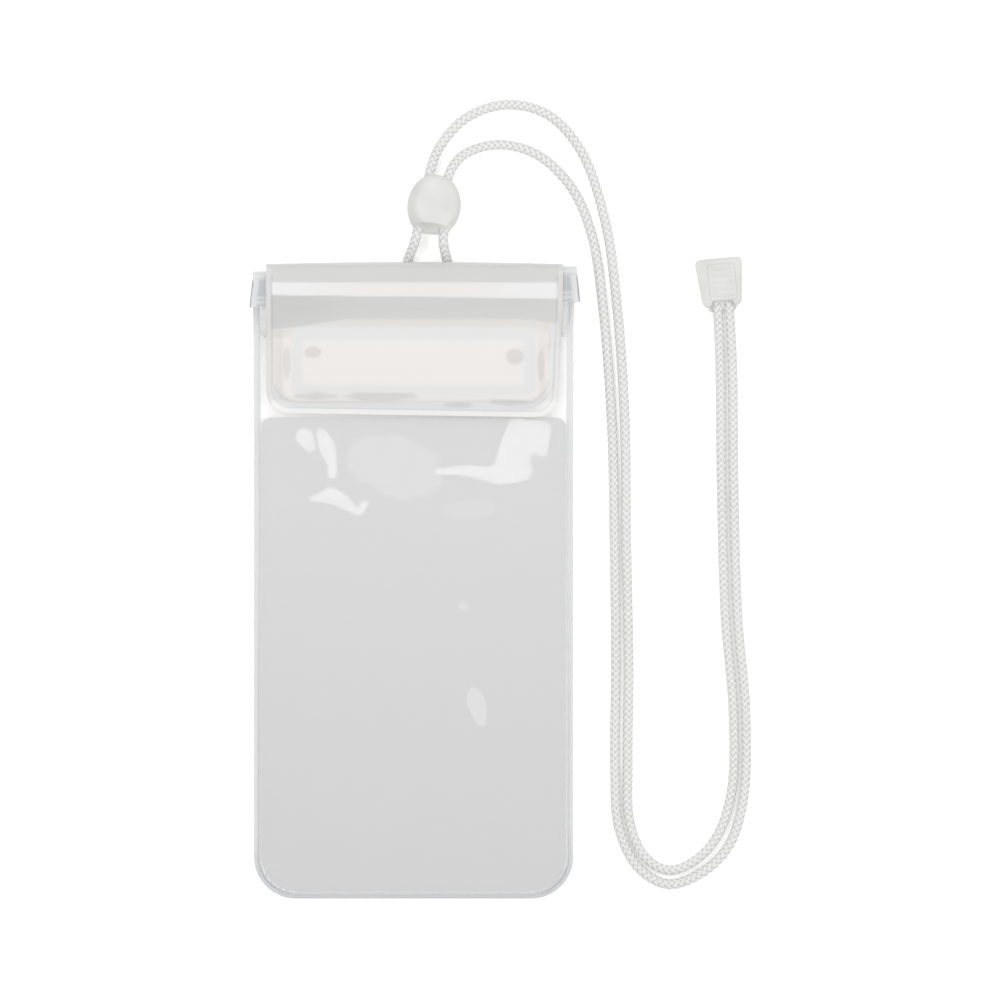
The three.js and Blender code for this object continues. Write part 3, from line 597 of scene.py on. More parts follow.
# Tone of the weld from its distance in from the edge: a pale flange, a thin dark line, then pale
def weldTone(depth, x, y):
    cornerFrom, cornerTo = weldLook["cornerUp"]
    lowFrom, lowTo = weldLook["lowUp"]
    corner = smooth(bottomY + cornerFrom, bottomY + cornerTo, y) * smooth(*weldLook["cornerX"], np.abs(x))
    low = smooth(bottomY + lowFrom, bottomY + lowTo, y) * (1 - corner)
    line = (weldLook["line"] + weldLook["lineBelow"] * smooth(*weldLook["darkerY"], y)) * (1 - low)
    line += weldLook["cornerLine"] * corner + weldLook["glassyLine"] * band(weldLook["glassyY"], y)
    flange = weldLook["flange"] - weldLook["cornerFlange"] * corner - weldLook["lowFlange"] * low
    tone = np.where(depth > weldLook["innerFrom"], weldLook["inner"], flange)
    return tone - line * ridge(depth - weldLook["lineAt"], weldLook["lineWidth"])


# Tone of the mouth's crushed ends: a dark outline, a pale band inside it, then a middle blue-grey
# crossed by two pale ridges near the strip's lower edge
def mouthTone(edge, y):
    across = np.interp(edge, mouthLook["places"], mouthLook["tones"])
    ridges = sum(ridge(y - stripBottomY - up, mouthLook["ridgeWidth"]) for up in mouthLook["ridgesUp"])
    return np.clip(across + mouthLook["ridgeTone"] * ridges * smooth(*mouthLook["ridgeFrom"], edge), 0, 1)


def addBagFilm(name, node, foldRadius, foldedZ, lipLayer, level, isFront):
    y, z, half, kind = bagRows(foldRadius, foldedZ, lipLayer, level)
    x = sharesAcross(pouch["width"] / 2, 1)[None, :] * half[:, None]
    y = np.broadcast_to(y[:, None], x.shape)
    z = np.broadcast_to(z[:, None], x.shape).copy()
    onBody, onFold, onStrip, onLip = ((kind == part)[:, None] for part in range(4))
    straight = blend(pouch["width"], mouthWidth, smooth(lipEndY, backFoldY, y)) / 2
    depth = insideCorner(x, y, straight, bottomY, pouch["cornerRadius"])
    if isFront:
        overSeam = smooth(pouch["seam"], pouch["seam"] + pouch["seamStep"], depth)
        overWindow = smooth(pouch["seam"], pouch["seam"] + pouch["puffMargin"], depth)
        puff = blend(pouch["puff"], pouch["padPuff"], smooth(hemY - pouch["puffMargin"], hemY, y))
        wave = windowWaves(x, y) * (1 - smooth(hemY - pouch["flatBelowHem"], hemY, y))
        lift = (sheetThickness + pouch["gap"]) * overSeam + (puff + wave) * overWindow
        z += np.where(onBody, lift * nearFold(y), 0)
    edge = np.abs(np.abs(x) - half[:, None])
    seam = np.where(onBody, depth < pouch["seam"] + pouch["seamStep"], edge < pouch["lipSideWeld"])
    seam |= onLip & (y < lipEndY + pouch["lipEndWeld"])
    seam |= (onFold | onStrip) & (edge < mouth["endWeld"])
    folded = np.where(onFold, mouthLook["fold"], np.where(onStrip, mouthTone(edge, y), mouthLook["lip"]))
    values = {"tone": np.where(onBody, weldTone(depth, x, y), folded)}
    if isFront:
        values["crease"] = np.where(onBody, creaseAt(x, y), 0)
    x = x + np.where(onFold | onStrip, mouth["rightReach"] * smooth(*mouth["reachOver"], x), 0)
    y = y + mouthShift(x, y)
    piece = filmPiece(name, np.stack([x, y, z], axis=-1), pouch["film"], [clearFilm, weldedFilm],
                      seam.astype(float), values)
    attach(piece, "root")
    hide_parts(node)


addBagFilm("back_sheet_of_bag", "back_film", backFoldRadius, foldedBackZ, 2, halfFilm, False)
addBagFilm("window_film", "front_film", mouth["foldRadius"], foldedFrontZ, 1, frontLevel, True)
print("bag films made")


# Press-to-close strips: the profile that presses shut, carried along X, with bevelled ends

strip = {
    "base": 0.5, "rib": 0.9, "ribOffset": 1.7, "clearance": 0.3, "endBevel": 0.9, "endSize": 0.86,
    "endSlant": 1, "slantOver": 5, "stations": [0, 0.3, 0.6, 0.9, 2, 3.4, 5.2, 6],
    "tonePlaces": [0, 0.3, 0.6, 2, 3.4, 5.2, 6], "tones": [1, 1, 0.1, 0.2, 0.8, 0.7, 0],
    "colour": "#f6f8fa", "endColour": "#b4c4d6", "alpha": 0.26,
}


# Extruded PVC: clear with a blue cast, deeper where the ends are crushed shut, in glassy streaks
def extrudedVinyl():
    material, tree = newMaterial("vinyl strip, extruded")
    tone = addNode(tree, "ShaderNodeAttribute", attribute_name="end")
    place = addNode(tree, "ShaderNodeTexCoord")
    slanted = addNode(tree, "ShaderNodeMapping", values={"Rotation": (0, 0, 0.5), "Scale": (700, 160, 1)},
                      links={"Vector": place.outputs["Object"]})     # streaks 1.4 mm wide and 6 long
    streak = addNode(tree, "ShaderNodeTexNoise", values={"Scale": 1, "Detail": 3},
                     links={"Vector": slanted.outputs["Vector"]})
    strength = addNode(tree, "ShaderNodeMapRange",
                       values={"From Min": 0.36, "From Max": 0.64, "To Min": 0.3, "To Max": 1.1},
                       links={"Value": streak.outputs["Fac"]})
    deep = addNode(tree, "ShaderNodeMath", operation="MULTIPLY",
                   links={0: tone.outputs["Fac"], 1: strength.outputs["Result"]})
    colour = hexRamp(tree, deep.outputs[0], [(0, strip["colour"]), (1, strip["endColour"])])
    stretch = addNode(tree, "ShaderNodeMapping", values={"Scale": (40, 900, 900)},
                      links={"Vector": place.outputs["Object"]})     # die lines about 1 mm apart, along X
    lines = noiseBump(tree, stretch.outputs["Vector"], 1, 2, 0.25, 0.0002)
    shader = addNode(tree, "ShaderNodeBsdfPrincipled",
                     values={"Roughness": 0.1, "IOR": filmLook["ior"], "Specular IOR Level": 0.8,
                             "Alpha": strip["alpha"]},
                     links={"Base Color": colour, "Normal": lines})
    finishMaterial(tree, shader)
    return material


def stripProfile(baseZ, toothZ, teeth):     # closed outline in Y and Z, anticlockwise seen from +X
    half = mouth["stripWidth"] / 2
    outline = [(-half, baseZ)]
    for tooth in teeth:
        low, high = tooth - strip["rib"] / 2, tooth + strip["rib"] / 2
        outline += [(low, baseZ), (low, toothZ), (high, toothZ), (high, baseZ)]
    outerZ = baseZ - strip["base"] if baseZ < toothZ else baseZ + strip["base"]
    outline += [(half, baseZ), (half, outerZ), (-half, outerZ)]
    outline = np.array(outline)
    return outline[::-1] if baseZ < toothZ else outline


def addStrip(name, node, baseZ, toothZ, teeth, material):
    outline = stripProfile(baseZ, toothZ, teeth)
    reach = stripLength / 2
    inward = np.array(strip["stations"])
    station = np.concatenate([inward - reach, (reach - inward)[::-1]])
    inward = np.concatenate([inward, inward[::-1]])
    centre = np.array([0, (baseZ + toothZ) / 2])
    size = blend(strip["endSize"], 1, smooth(0, strip["endBevel"], inward))[:, None, None]
    section = centre + (outline - centre)[None] * size
    slant = strip["endSlant"] * (section[..., 0] / mouth["stripWidth"] + 0.5)
    slant *= 1 - smooth(0, strip["slantOver"], inward)[:, None]
    x = station[:, None] - np.sign(station)[:, None] * slant
    x += np.where(station > 0, mouth["rightReach"], 0)[:, None]
    y = section[..., 0] + (stripTopY + stripBottomY) / 2
    points = np.stack([x, y + mouthShift(x, stripTopY), section[..., 1] + stripFloorZ], -1)
    faces = [face[::-1] for face in closedTube(len(station), len(outline))]
    end = np.repeat(np.interp(inward, strip["tonePlaces"], strip["tones"]), len(outline))
    piece = makePiece(name, points.reshape(-1, 3), faces, [material], values={"end": end}, sharp=30)
    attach(piece, "root")
    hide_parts(node)


stripMaterial = extrudedVinyl()
wallCeiling = mouth["stripHeight"] - strip["base"]
offset = strip["ribOffset"]
addStrip("ribbed_strip", "strip_with_ribs", strip["base"], wallCeiling - strip["clearance"],
         [-offset, offset], stripMaterial)
addStrip("grooved_strip", "strip_with_grooves", wallCeiling, strip["base"] + strip["clearance"],
         [-2 * offset, 0, 2 * offset], stripMaterial)
print("strips made")


# Grey sheet inside the window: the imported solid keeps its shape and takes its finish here

sheetLook = {
    # the white mixed into the ragged ovals is painted reflection
    "top": "#d9d9d9", "bottom": "#d0d0d0", "reflectionColour": "#ffffff", "ragged": 0.8, "outline": (1.46, 1.34),
    "patches": [     # (x, y), half sizes, turn in radians and strength
        ((-6.4, 39.2), (16.5, 10.4), -0.25, 0.15), ((18.7, 24.3), (9.4, 3.4), 0.05, 0.08),
        ((21.9, -43.2), (3, 7), 0.2, 0.26), ((17, -8.8), (1.7, 1.7), 0, 0.2),
    ],
}


# Polypropylene sheet, rolled: even pale grey and matt, a shade darker towards the bottom, and a
# shade lighter in a few ragged ovals, painted reflections of the film's sheen where it clings to the sheet
def rolledSheet():
    material, tree = newMaterial("polypropylene sheet, rolled")
    place = addNode(tree, "ShaderNodeTexCoord")
    parts = addNode(tree, "ShaderNodeSeparateXYZ", links={"Vector": place.outputs["Object"]})
    height = addNode(tree, "ShaderNodeMapRange",
                     values={"From Min": bottomY * mm, "From Max": crestY / 2 * mm},
                     links={"Value": parts.outputs["Y"]})
    level = hexRamp(tree, height.outputs["Result"], [(0, sheetLook["bottom"]), (1, sheetLook["top"])])
    warp = addNode(tree, "ShaderNodeTexNoise", values={"Scale": 110, "Detail": 2},
                   links={"Vector": place.outputs["Object"]})     # outlines wander over 9 mm
    outer, inner = sheetLook["outline"]
    amount = None
    # each ragged oval adds a painted reflection of the film's sheen
    for (x, y), (halfWidth, halfHeight), turn, strength in sheetLook["patches"]:
        oval = addNode(tree, "ShaderNodeMapping", vector_type="TEXTURE",
                       values={"Location": (x * mm, y * mm, 0), "Rotation": (0, 0, turn),
                               "Scale": (halfWidth * mm, halfHeight * mm, 1)},
                       links={"Vector": place.outputs["Object"]})
        reach = addNode(tree, "ShaderNodeVectorMath", operation="LENGTH", links={0: oval.outputs["Vector"]})
        ragged = addNode(tree, "ShaderNodeMath", operation="MULTIPLY_ADD", values={1: sheetLook["ragged"]},
                         links={0: warp.outputs["Fac"], 2: reach.outputs["Value"]})
        reflectionPatch = addNode(tree, "ShaderNodeMapRange",
                        values={"From Min": outer, "From Max": inner, "To Max": strength},
                        links={"Value": ragged.outputs[0]})
        amount = reflectionPatch if amount is None else addNode(tree, "ShaderNodeMath", operation="ADD",
                                                      links={0: amount.outputs[0], 1: reflectionPatch.outputs[0]})
    mixed = addNode(tree, "ShaderNodeMix", data_type="RGBA", values={7: linearColour(sheetLook["reflectionColour"])},
                    links={0: amount.outputs[0], 6: level})
    grain = noiseBump(tree, place.outputs["Object"], 1600, 2, 0.08, 0.0001)     # roller grain about 0.6 mm
    shader = addNode(tree, "ShaderNodeBsdfPrincipled", values={"Roughness": 0.55},
                     links={"Base Color": mixed.outputs[2], "Normal": grain})
    finishMaterial(tree, shader)
    return material


sheetObject = bpy.data.objects["window_sheet"]
sheetObject.data.materials.clear()
sheetObject.data.materials.append(rolledSheet())
print("window sheet finished")


# Flap: the lining and the outer film share one front surface, raised over the strip and the pad

def lipTopAt(y):     # middle of the upper lip film
    rest = frontTopAt(y) + 2 * pitch - halfFilm
    return blend(rest, foldedBackZ, smooth(lipEndY, stripBottomY, y))


tentMiddle = (flap["tentLeft"] + flap["tentRight"]) / 2
tentHalf = (flap["tentRight"] - flap["tentLeft"]) / 2


def liningAt(x, y):     # middle height of the lining
    low = frontTopAt(y) + pitch - halfFilm
    belowLips = low + 2 * pitch * smooth(lipEndY - flap["lipSlope"], lipEndY, y)
    overLips = np.where(y > lipEndY, lipTopAt(y) + pitch, belowLips)
    onPad = low + padStack * smooth(hemY, padBottomY, y)
    overPad = blend(onPad, liningTopZ, smooth(padTopY, stripBottomY, y))
    radius = flap["tentRadius"]
    bottom = insideCorner(x - tentMiddle, y, tentHalf, hemY, radius)
    top = insideCorner(x - tentMiddle, -y, tentHalf, -stripBottomY, radius)
    inside = smooth(0, flap["tentSlope"], np.minimum(bottom, top))
    sheltered = np.where(y > stripBottomY, liningTopZ, np.minimum(overLips, liningTopZ))
    return np.where(y > stripBottomY, liningTopZ, np.maximum(blend(sheltered, overPad, inside), sheltered))


flapHalf = pouch["width"] / 2 - flap["inset"]


def flapHalfAt(y):
    return flapHalf - flap["hemTaper"] * (1 - smooth(hemY, flapFoldY, y))


def flapDriftAt(y):
    return flap["drift"] * (smooth(hemY, flapFoldY, y) - 0.5)


def frontLegStations(topY):     # down the front, close together at the weld and the rounded corners
    near = cornerStations(flap["cornerRadius"], 14)
    even = np.arange(near[-1] + 0.5, topY - hemY - 0.25, 0.5)
    return np.concatenate([hemY + near, hemY + even, [topY]])[::-1]


# Places on the flap where the stack under it changes how it looks, and where shade and highlight
# are painted. Soft spots, and the lens-shaped hollows below the pad and at its sides, are ellipses:
# (x, y, half width, half height, change of tone); the lens shapes are painted shadow where the film
# lifts off the pad.
flapMarks = {
    # the tones of the rolled fold and of the dark band below the strip are painted shade, and that of the
    # light band over the strip is a painted highlight
    "roll": 0.59, "shoulderHighlight": 1, "hollowShade": 0.52, "border": 0.68, "slope": 0.84, "tent": 0.97,
    "frame": 0.86, "field": 1, "beside": 0.8, "below": 1, "weldLine": -0.3,
    "shoulderTop": 102.4, "shoulderBottom": 97.5, "hollowBottom": 89.9,
    "left": -48.8, "right": 49.7, "lineWidth": 0.25, "weldWidth": 0.26,
    "ellipses": [
        (-34.5, 78.5, 2.9, 1.9, -0.3), (34.9, 77, 3.1, 2.7, -0.3),
        (-33.6, 63.4, 7.6, 1, -0.3), (-11.1, 63.3, 12.6, 1.5, -0.3),
        (15.5, 60.4, 5, 0.9, -0.26), (34.1, 61.4, 7.7, 1, -0.3),
        (-43.4, 74.9, 1.2, 5.6, -0.24), (43.7, 73.9, 1.2, 5.4, -0.22),
    ],
}


def insideRounded(x, y, halfWidth, halfHeight, radius):     # distance in from a rounded rectangle
    qx, qy = np.abs(x) - (halfWidth - radius), np.abs(y) - (halfHeight - radius)
    outside = np.hypot(np.maximum(qx, 0), np.maximum(qy, 0))
    return radius - outside - np.minimum(np.maximum(qx, qy), 0)


# Tone and cast from above: bands across the flap, partly painted shade and painted highlight, the
# rounded tent, and the pad's frame and field
def flapShades(x, y):
    m = flapMarks
    tent = insideCorner(x - tentMiddle, y, tentHalf, flap["tentBottom"], flap["tentRadius"])
    frameY = (padTopY + padBottomY) / 2
    frame = insideRounded(x, y - frameY, pad["width"] / 2, pad["height"] / 2, pad["frameShadeRadius"])
    fieldY = padTopY - pad["fieldTop"] - pad["fieldHeight"] / 2
    field = insideRounded(x, y - fieldY, pad["fieldWidth"] / 2, pad["fieldHeight"] / 2,
                          pad["fieldShadeRadius"])
    onFrame, onField = smooth(-0.4, 0.9, frame), smooth(-1.1, 0.9, field)
    hollowBottom = m["hollowBottom"] - 3.2 * smooth(20, 46, -x) - smooth(35, 48, x)
    onHollow = smooth(hollowBottom - 1, hollowBottom, y)
    onRoll = smooth(m["shoulderTop"] - 0.3, m["shoulderTop"] + 0.3, y)
    inMiddle = smooth(40, 10, np.abs(x))
    tone = blend(m["beside"], m["tent"], smooth(-0.3, 0.3, tent))
    tone = blend(tone, m["below"], smooth(62.6, 61, y))
    tone = blend(tone, m["slope"], smooth(hollowBottom - 3.6, hollowBottom - 2.8, y))
    tone = blend(tone, m["frame"], onFrame)
    tone = blend(tone, m["field"], onField)
    # the dark band between the strip and the pad is painted shade, where the flap bridges the lips over air
    hollowShade = m["hollowShade"] + 0.08 * smooth(95, 91, y) - 0.1 * smooth(15, 45, -x)
    tone = blend(tone, hollowShade, smooth(hollowBottom - 0.6, hollowBottom + 0.4, y))
    # the light band over the strip's top is a painted highlight, the softbox's reflection, warmer in the
    # middle
    shoulderBottom = m["shoulderBottom"] - 0.012 * x
    onShoulder = smooth(shoulderBottom - 0.2, shoulderBottom + 0.2, y)
    edge = np.minimum(x - m["left"], m["right"] - x)
    tone = blend(tone, m["shoulderHighlight"], onShoulder * smooth(-0.2, 0.3, edge))
    # the rolled fold at the top: painted shade where the film curves over, lighter towards the crest, with a
    # bluish cast
    roll = m["roll"] + 0.22 * smooth(107.8, 109.2, y)
    tone = blend(tone, roll, onRoll)
    tone = blend(tone, m["border"], smooth(0.2, -0.3, edge))
    # painted shade: thin dark lines where the film bends down round the pad's tent
    tone -= 0.22 * ridge(tent, m["lineWidth"]) * (1 - smooth(84, 88, y))
    tone -= 0.2 * ridge(tent + 2, m["lineWidth"]) * smooth(30, 40, x) * (1 - smooth(80, 84, y))
    # darker ellipses: painted shadow under the lifted film in lens shapes, and two soft spots
    for ex, ey, width, height, change in m["ellipses"]:
        tone += change * smooth(1.15, 0.85, np.hypot((x - ex) / width, (y - ey) / height))
    cast = 0.5 + 0.3 * onField - 0.25 * onFrame * (1 - onField)
    cast += 0.42 * smooth(-0.3, 0.3, tent) * (1 - onFrame) * (1 - onHollow)
    cast -= 0.4 * onRoll
    cast -= 0.2 * inMiddle * onHollow * (y < shoulderBottom)
    cast += 0.35 * onShoulder * inMiddle * (y < m["shoulderTop"])
    return tone, cast


def addFlapFilm(name, node, rowY, rowZ, onFront, above, material):
    drift = flapDriftAt(rowY)[:, None]
    half = np.where(onFront, flapHalfAt(rowY) - cornerInset(flap["cornerRadius"], rowY - hemY), flapHalf)
    inFront = onFront[:, None]
    x = sharesAcross(flapHalf, 0.5)[None, :] * half[:, None]
    y = np.broadcast_to(rowY[:, None], x.shape)
    depth = insideCorner(x, y, flapHalfAt(y), hemY, flap["cornerRadius"])
    dip = flap["seamDip"] * ridge(depth - flap["seam"], 0.3) * (1 - smooth(*flap["dipEnds"], y))
    z = np.where(inFront, liningAt(x + drift, y) + above - dip, rowZ[:, None])
    droop = flap["endDroop"] * (x / flapHalf) ** 2 * smooth(*flap["droopOver"], y)
    skew = flap["hemSkew"] * x / flapHalf * (1 - smooth(hemY, hemY + flap["skewOver"], y)) * inFront
    tone, cast = flapShades(x + drift, y - droop - skew)
    weldLine = ridge(depth - flap["seam"] - 0.1, flapMarks["weldWidth"])
    tone = np.clip(tone + flapMarks["weldLine"] * weldLine * inFront, 0, 1)
    cast = np.maximum(cast, 0.5 + 0.35 * smooth(1.1, 0.5, depth) * inFront)
    middle = np.stack([x + drift, y - droop - skew, z], axis=-1)
    piece = filmPiece(name, middle, pouch["film"], [material], values={"tone": tone, "cast": cast})
    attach(piece, "root")
    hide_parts(node)


backY = np.arange(crestY - flap["backLeg"], flapFoldY, 1.5)
angle = np.linspace(-np.pi / 2, np.pi / 2, 25)
foldY = flapFoldY + flapFoldRadius * np.cos(angle)
foldZ = flapTopZ - flapFoldRadius + flapFoldRadius * np.sin(angle)
legY = frontLegStations(flapFoldY - 0.5)
outerY = np.concatenate([backY, foldY, legY])
outerZ = np.concatenate([riseAt(backY) + halfFilm - pitch, foldZ, legY])
outerFront = np.repeat([False, True], [len(backY) + len(foldY), len(legY)])
addFlapFilm("frosted_flap", "flap_outer_film", outerY, outerZ, outerFront, pitch, frostedFilm)
liningY = frontLegStations(crestY - flap["liningTop"])
addFlapFilm("flap_lining", "flap_lining_film", liningY, liningY, np.full(len(liningY), True), 0,
            clearFilm)
print("flap made")


# Hook-and-loop pad: two welded tapes whose pile fields meet between the flap and the bag

tapeLook = {"frame": "#e9ece8", "field": "#fbf6ef", "sunk": 0.12, "grid": 0.6, "nap": 0.06}


# Woven nylon tape: an off-white ground with a dense pile, slightly warm, with a cooler glazed
# border where the film was welded to it
def wovenTape():
    material, tree = newMaterial("nylon tape, woven")
    field = addNode(tree, "ShaderNodeAttribute", attribute_name="field")
    colour = hexRamp(tree, field.outputs["Fac"], [(0.2, tapeLook["frame"]), (0.8, tapeLook["field"])])
    place = addNode(tree, "ShaderNodeTexCoord")
    weave = addNode(tree, "ShaderNodeTexVoronoi", values={"Scale": 1800, "Randomness": 0.6},
                    links={"Vector": place.outputs["Object"]})     # hooks and loops about 0.55 mm apart
    bump = addNode(tree, "ShaderNodeBump", values={"Strength": 0.5, "Distance": 0.0003},
                   links={"Height": weave.outputs["Distance"]})
    shader = addNode(tree, "ShaderNodeBsdfPrincipled", values={"Roughness": 0.9, "Sheen Weight": 0.2},
                     links={"Base Color": colour, "Normal": bump.outputs["Normal"]})
    finishMaterial(tree, shader)
    return material


def addTape(name, node, bottom, top, isHook, material):
    halfWidth = pad["width"] / 2
    fieldTop = padTopY - pad["fieldTop"]
    fieldBottom = fieldTop - pad["fieldHeight"]
    rowY = np.linspace(bottom, top, int((top - bottom) / tapeLook["grid"]) + 1)
    share = np.linspace(-1, 1, int(pad["width"] / tapeLook["grid"]) + 1)
    ends = cornerInset(pad["radius"], rowY - bottom) + cornerInset(pad["radius"], top - rowY)
    x = share[None, :] * (halfWidth - ends)[:, None]
    y = np.broadcast_to(rowY[:, None], x.shape)
    inField = np.minimum(pad["fieldWidth"] / 2 - np.abs(x), np.minimum(fieldTop - y, y - fieldBottom))
    field = smooth(-0.7, 0.4, inField)
    nap = tapeLook["nap"] * np.sin(x * 5.1 + 2 * np.sin(y * 3.7)) * np.sin(y * 5.9 + 1.5 * np.sin(x * 2.9))
    thick = pad["base"] + field * (pad["pile"] + nap - tapeLook["nap"])
    if isHook:
        upper = frontTopAt(y) + padStack - tapeLook["sunk"] * (1 - field)
        lower = frontTopAt(y) + padStack - thick
    else:
        lower = frontTopAt(y) + pouch["gap"]
        upper = lower + thick
    piece = shellPiece(name, np.stack([x, y, upper], -1), np.stack([x, y, lower], -1), [material],
                       values={"field": field})
    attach(piece, "root")
    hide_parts(node)


tapeMaterial = wovenTape()
addTape("hook_pad", "hook_tape", padBottomY, padTopY, True, tapeMaterial)
loopTop = lipEndY - 2 * pouch["gap"]
addTape("loop_pad", "loop_tape", loopTop - pad["loopHeight"], loopTop, False, tapeMaterial)
print("pad made")


# Tab behind the pouch: welded above and below, with a tunnel for the cord between

tab = {"centre": 4.8, "width": 10, "weld": 5, "ramp": 6.4, "tunnel": 7, "top": 7.1, "rows": 61, "columns": 21}


def addTab():
    topY = crestY - tab["top"]
    tunnelTop = topY - tab["weld"] - tab["ramp"]
    tunnelBottom = tunnelTop - tab["tunnel"]
    bottom = tunnelBottom - tab["ramp"] - tab["weld"]
    rowY = np.linspace(bottom, topY, tab["rows"])
    under = riseAt(rowY) - pitch + halfFilm - pitch * smooth(tunnelTop, tunnelTop + 1, rowY)
    upper = smooth(tunnelTop, tunnelTop + tab["ramp"], rowY)
    lower = 1 - smooth(tunnelBottom - tab["ramp"], tunnelBottom, rowY)
    rowZ = blend(halfFilm, under, np.where(rowY > tunnelTop, upper, lower))
    share = np.linspace(-1, 1, tab["columns"])
    x = np.broadcast_to((tab["centre"] + share * tab["width"] / 2)[None, :], (tab["rows"], tab["columns"]))
    y = np.broadcast_to(rowY[:, None], x.shape)
    z = np.broadcast_to(rowZ[:, None], x.shape)
    weld = (rowY < bottom + tab["weld"]) | (rowY > topY - tab["weld"])
    seam = np.broadcast_to(weld[:, None], x.shape).astype(float)
    piece = filmPiece("cord_loop_tab", np.stack([x, y, z], -1), pouch["film"], [frostedFilm, weldedFilm],
                      seam, {"tone": np.full(x.shape, 0.8), "cast": np.full(x.shape, 0.5)})
    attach(piece, "root")
    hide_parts("cord_tab")


addTab()
print("tab made")


# White plastic of the bead and the clip

plasticLook = {
    # the pale colour is painted light for the bead's lower end
    "bead": "#e6e6e5", "beadShade": "#dddeda", "clip": "#e4e4e3", "clipShade": "#dbdcd7", "pale": "#fdfef6",
}


# Moulded ABS: satin off-white, with a fine spark-eroded grain and a faint yellow-green drift
def mouldedPlastic(name, light, shade, paintedLightY=-1000):     # paler below the height paintedLightY
    material, tree = newMaterial(name)
    place = addNode(tree, "ShaderNodeTexCoord")
    drift = addNode(tree, "ShaderNodeTexNoise", values={"Scale": 90, "Detail": 1},
                    links={"Vector": place.outputs["Object"]})     # colour drifts over about 11 mm
    drifted = hexRamp(tree, drift.outputs["Fac"], [(0.35, shade), (0.65, light)])
    parts = addNode(tree, "ShaderNodeSeparateXYZ", links={"Vector": place.outputs["Object"]})
    # paler below that height: painted light on the lower end, which the pouch's rolled fold shades
    pale = addNode(tree, "ShaderNodeMapRange",
                   values={"From Min": (paintedLightY + 1) * mm, "From Max": (paintedLightY - 1) * mm},
                   links={"Value": parts.outputs["Y"]})
    mixed = addNode(tree, "ShaderNodeMix", data_type="RGBA", values={7: linearColour(plasticLook["pale"])},
                    links={0: pale.outputs["Result"], 6: drifted})
    grain = noiseBump(tree, place.outputs["Object"], 3000, 2, 0.12, 0.0001)     # grain 0.3 mm apart
    shader = addNode(tree, "ShaderNodeBsdfPrincipled", values={"Roughness": 0.42, "IOR": 1.5},
                     links={"Base Color": mixed.outputs[2], "Normal": grain})
    finishMaterial(tree, shader)
    return material


# Joins or cuts a piece with another closed mesh, and leaves the result as the piece's own mesh
def combine(piece, tool, operation):
    change = piece.modifiers.new("combine", "BOOLEAN")
    change.operation = operation
    change.object = tool
    change.solver = "MANIFOLD"
    settle(piece)
    bpy.data.objects.remove(tool)


def settle(piece):     # applies the piece's modifiers
    depsgraph = bpy.context.evaluated_depsgraph_get()
    mesh = bpy.data.meshes.new_from_object(piece.evaluated_get(depsgraph))
    piece.modifiers.clear()
    old = piece.data
    piece.data = mesh
    mesh.name = piece.name
    bpy.data.meshes.remove(old)


def roundEdges(piece, width, segments=3, angle=35):
    bevel = piece.modifiers.new("round", "BEVEL")
    bevel.width = width * mm
    bevel.segments = segments
    bevel.limit_method = "ANGLE"
    bevel.angle_limit = np.radians(angle)
    settle(piece)
    smoothUnder(piece.data, angle)


def shadeFlat(piece, angle):     # smooth over small angles, with the large flat faces left flat
    smoothUnder(piece.data, angle)
    weigh = piece.modifiers.new("weigh", "WEIGHTED_NORMAL")
    weigh.keep_sharp = True
    settle(piece)


# A turned solid about Y: rings of one profile, closed by a flat face at each end
def turned(name, radii, heights, sides, material):
    angle = 2 * np.pi * np.arange(sides) / sides
    ring = np.stack([np.cos(angle), np.zeros(sides), -np.sin(angle)], -1)
    points = radii[:, None, None] * ring[None] + np.array([0, 1, 0]) * heights[:, None, None]
    return makePiece(name, points.reshape(-1, 3), closedTube(len(radii), sides), [material])


def turnAbout(points, axis, degrees):     # rows of points turned about X, Y or Z
    c, s = np.cos(np.radians(degrees)), np.sin(np.radians(degrees))
    first, second = [(1, 2), (2, 0), (0, 1)][axis]
    moved = points.copy()
    moved[:, first] = c * points[:, first] - s * points[:, second]
    moved[:, second] = s * points[:, first] + c * points[:, second]
    return moved


def pointsOf(piece):
    points = np.zeros(len(piece.data.vertices) * 3)
    piece.data.vertices.foreach_get("co", points)
    return points.reshape(-1, 3) / mm


def placePoints(piece, points):
    piece.data.vertices.foreach_set("co", (points * mm).ravel())
    piece.data.update()


# Bead: two half ellipses meeting at its waist, flat at both ends, with two leaning holes. Its front
# is pressed to a shallow dome: what stands above the face level keeps less than a third of its height.

bead = {
    "diameter": 18.4, "length": 18.8, "topFlat": 7.2, "bottomFlat": 12.6, "centre": (7.1, 128.8, 9.2),
    "upperScale": 1.08, "lowerScale": 0.86, "roll": 8, "tilt": 5, "tip": 8, "lean": 9, "slice": 5,
    "face": 5.4, "faceDome": 0.3, "faceEdge": 0.8, "hole": 3.5, "spreadTop": 6.5, "spreadBottom": 9,
    "edge": 0.5,
    # the bead's colour is painted paler below this height: painted light on its lower end
    "paintedLightY": 121.6,
}


